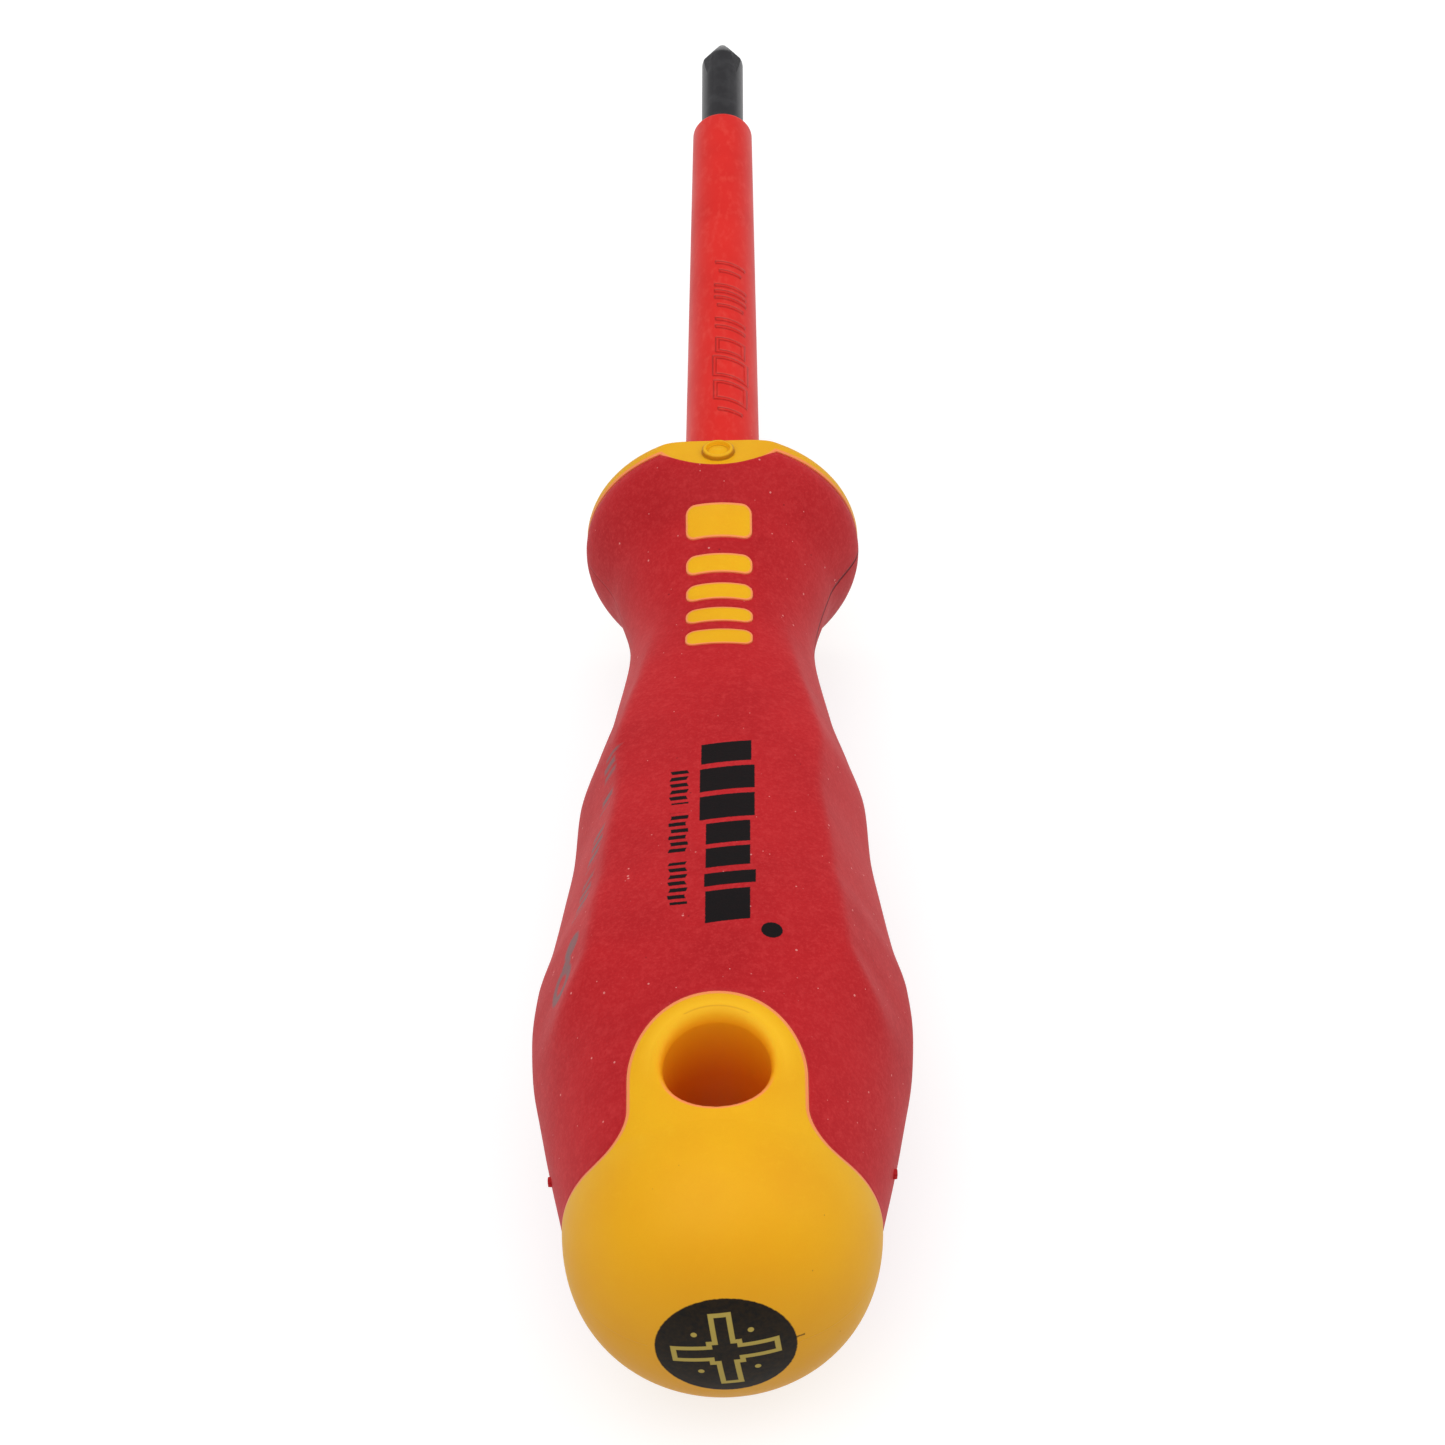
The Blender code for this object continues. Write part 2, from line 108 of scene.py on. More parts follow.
def smoothCurve(points):
    # A smooth curve through the points that never overshoots them
    spans = [(b[0] - a[0], (b[1] - a[1]) / (b[0] - a[0])) for a, b in zip(points, points[1:])]
    slopes = [spans[0][1]]
    for (before, left), (after, right) in zip(spans, spans[1:]):
        if left * right <= 0:
            slopes.append(0.0)
            continue
        weightLeft = 2 * after + before
        weightRight = after + 2 * before
        slopes.append((weightLeft + weightRight) / (weightLeft / left + weightRight / right))
    slopes.append(spans[-1][1])

    def value(place):
        index = 0
        while index < len(spans) - 1 and place > points[index + 1][0]:
            index += 1
        width = spans[index][0]
        t = (place - points[index][0]) / width
        first = points[index][1] * (1 + 2 * t) + slopes[index] * width * t
        last = points[index + 1][1] * (3 - 2 * t) - slopes[index + 1] * width * (1 - t)
        return first * (1 - t) ** 2 + last * t * t

    return value


def between(start, end, shape):
    return [(start[0] + (end[0] - start[0]) * along, start[1] + (end[1] - start[1]) * change)
            for along, change in shape]


def handleOutlines(form):
    butt = (form["domeDepth"], form["buttRadius"])
    belly = (form["bellyFromButt"], form["bellyHalfWidth"])
    crown = (form["crownFromButt"], form["crownHalfHeight"])
    neck = (form["length"] - form["neckFromFront"], form["neckRadius"])
    guard = (form["length"] - form["guardFromFront"], form["guardRadius"])
    front = (form["length"], form["frontRadius"])
    ahead = [neck] + between(neck, guard, form["flankShape"]) + [guard, front]
    widths = [butt] + between(butt, belly, form["rearShape"]) + [belly]
    widths += between(belly, neck, form["waistShape"]) + ahead
    heights = [butt] + between(butt, crown, form["crownRearShape"]) + [crown]
    heights += between(crown, neck, form["crownFrontShape"]) + ahead
    return smoothCurve(widths), smoothCurve(heights)


halfWidth, halfHeight = handleOutlines(handleForm)


def outlineValue(curve, place):
    form = handleForm
    if place >= form["domeDepth"]:
        return curve(place)
    inward = 1 - max(place, 0.0) / form["domeDepth"]
    return form["buttRadius"] * (1 - inward ** form["domePower"]) ** (1 / form["domePower"])


def faceDistance(turn, distance, arch):
    centre = arch - distance
    return math.sqrt(arch ** 2 - (centre * math.sin(turn)) ** 2) - centre * math.cos(turn)


sideTilt = smoothCurve(handleForm["sideTilts"])


def stationSizes(place):
    # Half width, half height, share of the squared section, tilt and distance of the side faces, oval cap
    form = handleForm
    wide = outlineValue(halfWidth, place)
    high = outlineValue(halfHeight, place)
    neck = form["length"] - form["neckFromFront"]
    square = ramp(form["squareStarts"], form["squareFull"], place)
    square *= 1 - ramp(neck - form["squareEndsFromNeck"], neck, place)
    tilt = sideTilt(min(max(place, form["sideTilts"][0][0]), form["sideTilts"][-1][0]))
    distance = form["sideDistance"] + form["distancePerDegree"] * (tilt - form["flattestTilt"])
    cap = form["ovalCap"][0] + (form["ovalCap"][1] - form["ovalCap"][0]) * ramp(*form["capLifts"], place)
    return wide, high, square, math.radians(tilt), distance * wide, cap


def nearestOf(distances, scale, sharpness):
    # The least of some distances, rounded off where two are alike
    return scale * sum((scale / distance) ** sharpness for distance in distances) ** (-1 / sharpness)


def sectionRadius(angle, sizes):
    # The angle runs round the axis from the top
    form = handleForm
    wide, high, square, tilt, distance, cap = sizes
    up = min(angle % math.pi, math.pi - angle % math.pi)
    oval = wide * high / math.hypot(wide * math.cos(up), high * math.sin(up))
    if square == 0:
        return oval
    arch = form["sideArch"] * wide
    sides = [faceDistance(up - turn, distance, arch) for turn in (tilt, math.pi - tilt)]
    side = nearestOf(sides, wide, form["partingSharpness"])
    top = faceDistance(up, high, form["topArch"] * wide)
    squared = nearestOf((top, side, oval * cap), wide, form["edgeSharpness"])
    return oval + square * (squared - oval)


# What every piece's mesh shares
meshing = {
    "skinMerge": 0.004,
    "partMerge": 0.0004,
    "sliverMerge": 0.003,
    "smoothAngle": math.radians(35),
    "endMargin": 0.02,
    "domeCrowding": 1.4,
}


def clearSelection():
    if bpy.context.mode != "OBJECT":
        bpy.ops.object.mode_set(mode="OBJECT")
    bpy.ops.object.select_all(action="DESELECT")


def pick(piece):
    clearSelection()
    piece.select_set(True)
    bpy.context.view_layer.objects.active = piece


def named(name):
    piece = bpy.context.active_object
    piece.name = name
    piece.data.name = name
    return piece


def editing(piece):
    pick(piece)
    bpy.ops.object.mode_set(mode="EDIT")
    bpy.ops.mesh.select_mode(type="VERT")
    bpy.ops.mesh.select_all(action="SELECT")


def closeShell(piece, threshold=meshing["partMerge"]):
    # Merges doubles, fills the open ends and turns every face outwards
    editing(piece)
    bpy.ops.mesh.remove_doubles(threshold=threshold)
    bpy.ops.mesh.fill_holes(sides=0)
    bpy.ops.mesh.select_all(action="SELECT")
    bpy.ops.mesh.normals_make_consistent(inside=False)
    bpy.ops.object.mode_set(mode="OBJECT")


def stationList(start, end, spacing):
    form = handleForm
    stations = []
    if start < form["domeDepth"]:
        for turn in quarterTurns(math.ceil(meshing["domeCrowding"] * form["domeDepth"] / spacing)):
            stations.append(form["domeDepth"] * (1 - math.cos(turn) ** (2 / form["domePower"])))
    first = max(start, form["domeDepth"])
    steps = math.ceil((end - first) / spacing)
    stations += [first + (end - first) * step / steps for step in range(1, steps)]
    margin = meshing["endMargin"]
    inside = [place for place in stations if start + margin < place < end - margin]
    return [start] + inside + [end]


def evenTurns(count):
    return [2 * math.pi * step / count for step in range(count)]


def handleSkin(name, stations, turns, off=None, shape=None):
    # A fine grid wrapped round the handle. off(place) is how far it stands off the plain form.
    clearSelection()
    sides = len(turns)
    rows = len(stations) - 1
    bpy.ops.mesh.primitive_grid_add(x_subdivisions=sides, y_subdivisions=rows, size=2)
    skin = named(name)
    rings = []
    for place in stations:
        sizes = stationSizes(place) if place > 0 else None
        ring = []
        for angle in turns:
            radius = sectionRadius(angle, sizes) if place > 0 else 0.0
            if off:
                radius = max(radius + off(place), 0.0)
            x = radius * math.sin(angle)
            z = radius * math.cos(angle)
            ring.append(shape(x, place, z) if shape else (x, place, z))
        rings.append(ring)
    for vertex in skin.data.vertices:
        ring = rings[round((vertex.co.y + 1) / 2 * rows)]
        vertex.co = ring[round((vertex.co.x + 1) / 2 * sides) % sides]
    closeShell(skin, meshing["skinMerge"])
    return skin


def quarterTurns(steps):
    return [0.5 * math.pi * step / steps for step in range(1, steps + 1)]


def turnedPiece(name, profile, sides, along=(0.0, 1.0, 0.0)):
    # A circle extruded and resized from one (place, radius) to the next, then closed at both ends.
    # Where a profile gives a third value, the ring is that high instead of round.
    clearSelection()
    turn = (math.pi / 2, 0.0, 0.0) if along[1] else (0.0, 0.0, 0.0)
    place, radius = profile[0][:2]
    high = radius
    start = [axis * place for axis in along]
    bpy.ops.mesh.primitive_circle_add(vertices=sides, radius=radius, location=start, rotation=turn)
    piece = named(name)
    bpy.ops.object.transform_apply(location=True, rotation=True, scale=True)
    editing(piece)
    for following, wider, *higher in profile[1:]:
        tall = higher[0] if higher else wider
        step = [axis * (following - place) for axis in along]
        bpy.ops.mesh.extrude_region_move(TRANSFORM_OT_translate={"value": step})
        across = (wider / radius, 1.0, tall / high) if along[1] else (wider / radius, wider / radius, 1.0)
        centre = [axis * following for axis in along]
        bpy.ops.transform.resize(value=across, center_override=centre)
        place, radius, high = following, wider, tall
    bpy.ops.object.mode_set(mode="OBJECT")
    closeShell(piece)
    return piece


def raisedOutline(name, outline, low, high):
    # A filled circle pulled onto an outline seen from above, then extruded upwards
    clearSelection()
    bpy.ops.mesh.primitive_circle_add(vertices=len(outline), radius=1, fill_type="NGON")
    piece = named(name)
    for vertex, (x, y) in zip(piece.data.vertices, outline):
        vertex.co = (x, y, 0.0)
    editing(piece)
    bpy.ops.mesh.extrude_region_move(TRANSFORM_OT_translate={"value": (0, 0, 1)})
    bpy.ops.object.mode_set(mode="OBJECT")
    for vertex in piece.data.vertices:
        vertex.co.z = high(vertex.co.y) if vertex.co.z > 0.5 else low(vertex.co.y)
    closeShell(piece)
    return piece


def combine(piece, tool, operation):
    pick(piece)
    bpy.ops.object.modifier_add(type="BOOLEAN")
    modifier = piece.modifiers[-1]
    modifier.operation = operation
    modifier.solver = "EXACT"
    modifier.object = tool
    bpy.ops.object.modifier_apply(modifier=modifier.name)
    bpy.data.objects.remove(tool, do_unlink=True)


def joinTools(name, tools):
    clearSelection()
    for tool in tools:
        tool.select_set(True)
    bpy.context.view_layer.objects.active = tools[0]
    bpy.ops.object.join()
    return named(name)


def openEdges(piece):
    work = bmesh.new()
    work.from_mesh(piece.data)
    count = sum(1 for edge in work.edges if len(edge.link_faces) != 2)
    work.free()
    return count


def trimSlivers(piece):
    # Cuts every face into triangles, then takes out the ones with no width that the joins left
    editing(piece)
    bpy.ops.mesh.quads_convert_to_tris(quad_method="BEAUTY", ngon_method="BEAUTY")
    bpy.ops.mesh.remove_doubles(threshold=meshing["sliverMerge"])
    bpy.ops.mesh.dissolve_degenerate(threshold=meshing["sliverMerge"])
    bpy.ops.object.mode_set(mode="OBJECT")


def settle(piece, smoothAngle=meshing["smoothAngle"]):
    # From millimetres at the butt to metres in the frame, with the place kept in the mesh
    trimSlivers(piece)
    for vertex in piece.data.vertices:
        x, y, z = vertex.co
        vertex.co = (x * mm, (y + buttAt) * mm, (z + axisHeight) * mm)
    piece.data.update()
    pick(piece)
    bpy.ops.object.shade_smooth_by_angle(angle=smoothAngle)
    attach(piece, "root")
    print(piece.name, "has", len(piece.data.polygons), "faces,", openEdges(piece), "open edges")


def arc(centre, radius, start, end, steps):
    turns = [start + (end - start) * step / steps for step in range(steps + 1)]
    return [(centre[0] + radius * math.cos(turn), centre[1] + radius * math.sin(turn)) for turn in turns]


# Where the yellow core comes through the red grip, all seen from above
zones = {
    "buttEdge": 13.6,
    "holeFromButt": 20.4,
    "surroundFromButt": 19.8,
    "surroundRadius": 7.85,
    "surroundFillet": 3.4,
    "collarStart": 102.9,
    "scallopDepth": 2.8,
    "scallopHalfWidth": 5.7,
    "flatHeight": 12.2,
    "flatSlope": math.radians(9.3),
    "padHalfWidth": 3.2,
    "padCorner": 0.9,
    "padBars": ((8.2, 3.6), (13.0, 2.2), (16.6, 2.2), (20.2, 2.2), (23.9, 2.4)),
    "padFoot": 1.0,
    "arcSteps": (20, 90, 60, 10),  # fillets, surround, scallop, pad corners
    "wide": 30.0,
    "seamGap": 0.02,
}
zones["scallopRadius"] = ((zones["scallopHalfWidth"] ** 2 + zones["scallopDepth"] ** 2)
                          / (2 * zones["scallopDepth"]))
zones["scallopCentre"] = zones["collarStart"] - zones["scallopDepth"] + zones["scallopRadius"]


def buttZone(grow):
    side = zones["surroundRadius"] + grow
    edge = zones["buttEdge"] + grow
    fillet = zones["surroundFillet"] - grow
    wide = zones["wide"]
    filletSteps, surroundSteps = zones["arcSteps"][:2]
    outline = [(-wide, -wide), (wide, -wide), (wide, edge)]
    outline += arc((side + fillet, edge + fillet), fillet, 1.5 * math.pi, math.pi, filletSteps)
    outline += arc((0.0, zones["surroundFromButt"]), side, 0.0, math.pi, surroundSteps)
    outline += arc((-side - fillet, edge + fillet), fillet, 0.0, -0.5 * math.pi, filletSteps)
    outline.append((-wide, edge))
    return raisedOutline("buttZone", outline, lambda y: -wide, lambda y: wide)


def collarHeight(place):
    return zones["flatHeight"] + (zones["collarStart"] - place) * math.tan(zones["flatSlope"])


def collarZone(grow):
    past = zones["wide"] if grow else 0.0
    edge = zones["collarStart"] - grow
    wide = zones["wide"]
    far = handleForm["length"] + wide
    radius = zones["scallopRadius"]
    centre = (0.0, zones["scallopCentre"])
    turn = math.acos((centre[1] - edge) / (radius + grow))
    outline = [(wide, edge), (wide, far), (-wide, far), (-wide, edge)]
    down = 1.5 * math.pi
    outline += arc(centre, radius + grow, down - turn, down + turn, zones["arcSteps"][2])
    return raisedOutline("collarZone", outline, lambda y: -collarHeight(y) - past,
                         lambda y: collarHeight(y) + past)


def padZone(bar, grow):
    behind, length = bar
    middle = zones["collarStart"] - behind
    across = zones["padHalfWidth"] - zones["padCorner"]
    along = length / 2 - zones["padCorner"]
    corners = ((across, along, 0.0), (-across, along, 0.5), (-across, -along, 1.0), (across, -along, 1.5))
    outline = []
    for x, y, start in corners:
        radius = zones["padCorner"] + grow
        turns = (start * math.pi, (start + 0.5) * math.pi)
        outline += arc((x, middle + y), radius, *turns, zones["arcSteps"][3])
    return raisedOutline("padZone", outline, lambda y: zones["padFoot"], lambda y: zones["wide"])


layers = {
    "gripWall": 2.2,
    "fitGap": 0.3,
    "buriedSides": 60,
    "buriedSpacing": 2.0,
    "sleeveStart": 80.0,
    "sleeveEnd": 169.4,
    "sleeveTipRadius": 3.18,
    "sleeveHandleRadius": 3.85,
    "shankRadius": 2.25,
    "coreRadius": 5.4,
    "coreStart": 28.9,
    "coreEnd": 79.7,
}


def buriedSkin(name, start, end, inset):
    stations = stationList(start, end, layers["buriedSpacing"])
    return handleSkin(name, stations, evenTurns(layers["buriedSides"]), off=lambda place: -inset)


# The yellow core: butt, keyhole surround, collar and pads on one buried body
core = {
    "rimSpacing": 0.18,
    "rimReach": math.radians(27),
    "turnSteps": (76, 84),  # by the hole, at the side
    "rimSkin": (14.0, 27.5),
    "buttSpacing": 0.36,
    "buttSkinEnd": 32.0,
    "holeRadius": 4.7,
    "holeReach": 24.0,
    "holeSteps": 32,
    "holeSides": 120,
    "snap": 0.09,
    "snapOut": 0.01,
    "wallDrop": 8.0,
    "wallDropMost": 4.0,
    "faceFromAxis": 6.0,
    "holeRimNear": 0.6,
    "holeRimFar": 1.3,
    "bodySetBack": 1.0,
    "collarSides": 256,
    "collarSpacing": 0.4,
    "collarSkinStart": 97.0,
    "collarProud": 0.17,
    "proudOver": 0.8,
    "frontRounding": 1.0,
    "frontSteps": 8,
    "markFromButt": 102.9,
    "markRadius": 1.55,
    "markRise": 0.4,
    "markSunk": 0.3,
    "markInsets": ((0.12, 0.12), (0.22, 0.0), (0.10, -0.32), (0.25, 0.0), (0.22, 0.10), (0.22, 0.06),
                   (0.2, 0.03)),
    "padRaise": 0.12,
    "padSkin": (72.0, 99.0),
    "padSides": 200,
    "cavitySides": 64,
    "cavityChamfer": 1.0,
    "snugGap": 0.04,
    "snugLength": 1.8,
    "snugStep": 0.1,
    "mouthChamfer": 0.3,
    "cutPast": 10.0,
}


def rimTurns():
    # Angles round the axis, closer together above and below, where the hole comes out
    reach = core["rimReach"]
    close, apart = core["turnSteps"]
    half = [-reach + 2 * reach * step / close for step in range(close)]
    half += [reach + (math.pi - 2 * reach) * step / apart for step in range(apart)]
    return half + [turn + math.pi for turn in half]


def aroundHole(x, y, z):
    # The rim rounds down into the hanging hole on both faces
    holeAt = zones["holeFromButt"]
    reach = math.hypot(x, y - holeAt)
    if abs(reach - core["holeRadius"]) < core["snap"] and reach > 0:
        snapped = core["holeRadius"] + core["snapOut"]
        x *= snapped / reach
        y = holeAt + (y - holeAt) * snapped / reach
        reach = snapped
    away = reach - core["holeRadius"]
    towardsTip = 0.5 + 0.5 * (y - holeAt) / max(reach, core["snapOut"])
    rim = core["holeRimNear"] + (core["holeRimFar"] - core["holeRimNear"]) * towardsTip
    if away >= rim or abs(z) < core["faceFromAxis"]:
        return x, y, z
    fall = rim - math.sqrt(max(rim ** 2 - (rim - max(away, 0.0)) ** 2, 0.0))
    fall += min(core["wallDrop"] * max(-away, 0.0), core["wallDropMost"])
    return x, y, z - math.copysign(fall, z)


def collarOff(place):
    left = handleForm["length"] - place
    rounding = core["frontRounding"]
    start = zones["collarStart"]
    proud = core["collarProud"] * ramp(start, start + core["proudOver"], place)
    if left >= rounding:
        return proud
    return proud - rounding + math.sqrt(max(rounding ** 2 - (rounding - left) ** 2, 0.0))


def collarMark(side):
    # A raised ring round a low dome, lying on the collar's sloping flat
    clearSelection()
    bpy.ops.mesh.primitive_circle_add(vertices=72, radius=core["markRadius"], fill_type="NGON")
    mark = named("collarMark")
    editing(mark)
    high = core["markRise"] + core["markSunk"]
    bpy.ops.mesh.extrude_region_move(TRANSFORM_OT_translate={"value": (0, 0, high)})
    for thickness, depth in core["markInsets"]:
        bpy.ops.mesh.inset(thickness=thickness, depth=depth)
    bpy.ops.object.mode_set(mode="OBJECT")
    place = core["markFromButt"]
    slope = zones["flatSlope"]
    for vertex in mark.data.vertices:
        x, y, z = vertex.co
        z -= core["markSunk"]
        vertex.co = (x, place + y * math.cos(slope) + z * math.sin(slope),
                     side * (collarHeight(place) + z * math.cos(slope) - y * math.sin(slope)))
    closeShell(mark)
    return mark


def makeHandleCore():
    length = handleForm["length"]
    piece = buriedSkin("handleCore", zones["buttEdge"] / 2, length - core["bodySetBack"],
                       layers["gripWall"])
    rimStart, rimEnd = core["rimSkin"]
    stations = stationList(0.0, rimStart, core["buttSpacing"])
    stations += stationList(rimStart, rimEnd, core["rimSpacing"])[1:]
    stations += stationList(rimEnd, core["buttSkinEnd"], core["buttSpacing"])[1:]
    butt = handleSkin("buttBody", stations, rimTurns(), shape=aroundHole)
    combine(butt, buttZone(0.0), "INTERSECT")
    combine(piece, butt, "UNION")
    rounding, spacing = core["frontRounding"], core["collarSpacing"]
    stations = stationList(core["collarSkinStart"], length - rounding, spacing)
    stations += [length - rounding * (1 - math.sin(turn)) for turn in quarterTurns(core["frontSteps"])]
    collar = handleSkin("collarBody", stations, evenTurns(core["collarSides"]), off=collarOff)
    combine(collar, collarZone(0.0), "INTERSECT")
    combine(piece, collar, "UNION")
    pads = handleSkin("padBody", stationList(*core["padSkin"], spacing), evenTurns(core["padSides"]),
                      off=lambda place: core["padRaise"])
    tools = [padZone(bar, 0.0) for bar in zones["padBars"]]
    combine(pads, joinTools("padZones", tools), "INTERSECT")
    combine(piece, pads, "UNION")
    print("core joined,", openEdges(piece), "open edges")
    for side in (1, -1):
        combine(piece, collarMark(side), "UNION")
    wide = layers["coreRadius"] + layers["fitGap"]
    narrow = layers["sleeveHandleRadius"] + layers["fitGap"]
    snug = layers["sleeveHandleRadius"] + core["snugGap"]
    start = layers["coreStart"] - layers["fitGap"]
    end = layers["coreEnd"] + layers["fitGap"]
    chamfer, mouth = core["cavityChamfer"], core["mouthChamfer"]
    snugStart = length - core["snugLength"]
    mouthEnd = length + mouth / 2
    cavity = [(start, wide - chamfer), (start + chamfer, wide), (end, wide), (end + wide - narrow, narrow),
              (snugStart, narrow), (snugStart + core["snugStep"], snug), (mouthEnd - mouth, snug),
              (mouthEnd, snug + mouth), (length + core["cutPast"], snug + mouth)]
    combine(piece, turnedPiece("cavity", cavity, core["cavitySides"]), "DIFFERENCE")
    reach, holeSteps = core["holeReach"], core["holeSteps"]
    holeProfile = [(-reach + 2 * reach * step / holeSteps, core["holeRadius"])
                   for step in range(holeSteps + 1)]
    hole = turnedPiece("hole", holeProfile, core["holeSides"], (0.0, 0.0, 1.0))
    for vertex in hole.data.vertices:
        vertex.co.y += zones["holeFromButt"]
    combine(piece, hole, "DIFFERENCE")
    settle(piece)
    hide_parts("handle_core")
    return piece


grip = {
    "sides": 272,
    "spacing": 0.55,
    "start": 12.0,
    "end": 104.6,
    "boreStart": 5.0,
    "lipFall": 0.14,
    "lipOver": 0.6,
    "nibFromButt": 19.7,
    "nibSize": (0.55, 0.75, 0.5),
    "nibOut": 0.05,
    "nibRipple": 0.15,
    "nibRippleTurn": 9.0,
}


def lipOff(place):
    # The grip's edge falls away a little where it meets the collar
    return -grip["lipFall"] * ramp(zones["collarStart"] - grip["lipOver"], zones["collarStart"], place)


def gateNib(side):
    # A small torn nib left on the parting line
    clearSelection()
    place = grip["nibFromButt"]
    out = outlineValue(halfWidth, place) + grip["nibOut"]
    bpy.ops.mesh.primitive_cube_add(size=1, location=(side * out, place, 0.0))
    nib = named("gateNib")
    nib.scale = grip["nibSize"]
    bpy.ops.object.transform_apply(location=True, rotation=True, scale=True)
    editing(nib)
    bpy.ops.mesh.subdivide(number_cuts=2)
    bpy.ops.mesh.vertices_smooth(factor=0.5, repeat=2)
    bpy.ops.object.mode_set(mode="OBJECT")
    for vertex in nib.data.vertices:
        vertex.co.y += grip["nibRipple"] * math.sin(grip["nibRippleTurn"] * vertex.co.z + place)
    return nib


def makeSoftGrip():
    stations = stationList(grip["start"], grip["end"], grip["spacing"])
    piece = handleSkin("softGrip", stations, evenTurns(grip["sides"]), off=lipOff)
    gap = zones["seamGap"]
    combine(piece, buttZone(gap), "DIFFERENCE")
    combine(piece, collarZone(gap), "DIFFERENCE")
    combine(piece, joinTools("padZones", [padZone(bar, gap) for bar in zones["padBars"]]), "DIFFERENCE")
    bore = buriedSkin("gripBore", grip["boreStart"], handleForm["length"],
                      layers["gripWall"] - layers["fitGap"])
    combine(piece, bore, "DIFFERENCE")
    for side in (-1, 1):
        combine(piece, gateNib(side), "UNION")
    settle(piece)
    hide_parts("soft_grip")
    return piece


sleeve = {
    "sides": 120,
    "taperSteps": 24,
    "shoulder": 0.55,
    "shoulderSteps": 6,
    "bore": 2.33,
    "boreLength": 6.0,
    "boreStep": 0.2,
    "hollow": 2.55,
}


def makeSleeve():
    length = handleForm["length"]
    end = layers["sleeveEnd"]
    wide, narrow = layers["sleeveHandleRadius"], layers["sleeveTipRadius"]
    start, hollow = layers["sleeveStart"], sleeve["hollow"]
    profile = [(start, hollow), (start, wide)]
    shoulder = sleeve["shoulder"]
    straight = end - shoulder
    for step in range(sleeve["taperSteps"] + 1):
        share = step / sleeve["taperSteps"]
        profile.append((length + (straight - length) * share, wide + (narrow - wide) * share))
    profile += [(straight + shoulder * math.sin(turn), narrow - shoulder * (1 - math.cos(turn)))
                for turn in quarterTurns(sleeve["shoulderSteps"])]
    boreStart = end - sleeve["boreLength"]
    profile += [(end, sleeve["bore"]), (boreStart, sleeve["bore"]),
                (boreStart - sleeve["boreStep"], hollow), (start, hollow)]
    piece = turnedPiece("bladeInsulation", profile, sleeve["sides"])
    settle(piece)
    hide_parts("blade_insulation")
    return piece


blade = {
    "sides": 96,
    "toolLength": 185.0,
    "smoothAngle": math.radians(28),
    "tipCone": 3.1,
    "tipEnd": 0.55,
    "coneEdge": ((-0.35, 0.0), (-0.1, 0.03), (0.2, 0.02)),
    "tipRound": 0.35,
    "tipEdge": (0.12, 0.05),
    "tipFlat": 0.2,
    "shankStops": (100.0, 165.0),
    "fluteLength": 6.5,
    "valley": 0.42,
    "anchorFrom": 32.4,
    "anchorStub": 5.0,
    "anchorBlend": 4.0,
    "anchorFlat": 9.0,
    "anchorSpread": 1.35,
    "anchorHalfThickness": 1.3,
    "endChamfer": 0.3,
}


def fluteTool(quarter):
    # A long wedge whose rounded edge is the valley of one flute
    turn = math.pi / 4 + quarter * math.pi / 2
    wide = 2 * layers["shankRadius"]
    rise = (layers["shankRadius"] - blade["valley"]) / blade["fluteLength"]
    clearSelection()
    bpy.ops.mesh.primitive_cylinder_add(vertices=3, radius=1, depth=1)
    tool = named("fluteTool")
    corners = ((0.0, 0.0), (wide, wide), (wide, -wide))
    ends = (blade["toolLength"] - blade["fluteLength"] - layers["shankRadius"],
            blade["toolLength"] + layers["shankRadius"])
    upper = [vertex for vertex in tool.data.vertices if vertex.co.z > 0]
    lower = [vertex for vertex in tool.data.vertices if vertex.co.z < 0]
    for place, row in zip(ends, (lower, upper)):
        valley = blade["valley"] + (blade["toolLength"] - place) * rise
        for vertex, (out, across) in zip(row, corners):
            reach = valley + out
            vertex.co = (reach * math.sin(turn) + across * math.cos(turn), place,
                         reach * math.cos(turn) - across * math.sin(turn))
    closeShell(tool)
    return tool


def makeBlade():
    length = blade["toolLength"]
    radius = layers["shankRadius"]
    start, chamfer, blend = blade["anchorFrom"], blade["endChamfer"], blade["anchorBlend"]
    flatStart = start + blade["anchorStub"] + blend
    flatEnd = flatStart + blade["anchorFlat"]
    wide, thick = radius + blade["anchorSpread"], blade["anchorHalfThickness"]
    profile = [(start, radius - chamfer), (start + chamfer, radius), (flatStart - blend, radius),
               (flatStart, wide, thick), (flatEnd, wide, thick), (flatEnd + blend, radius)]
    profile += [(place, radius) for place in blade["shankStops"]]
    cone = length - blade["tipCone"]
    fall = (radius - blade["tipEnd"]) / blade["tipCone"]
    for along, inside in blade["coneEdge"]:
        profile.append((cone + along, radius - max(along, 0.0) * fall - inside))
    end, left = blade["tipEnd"], blade["tipRound"]
    edgeLeft, edgeRise = blade["tipEdge"]
    profile += [(length - left, end + left * fall), (length - edgeLeft, end + edgeRise),
                (length, end - blade["tipFlat"])]
    piece = turnedPiece("bladeSteel", profile, blade["sides"])
    for quarter in range(4):
        combine(piece, fluteTool(quarter), "DIFFERENCE")
    settle(piece, blade["smoothAngle"])
    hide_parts("blade")
    return piece


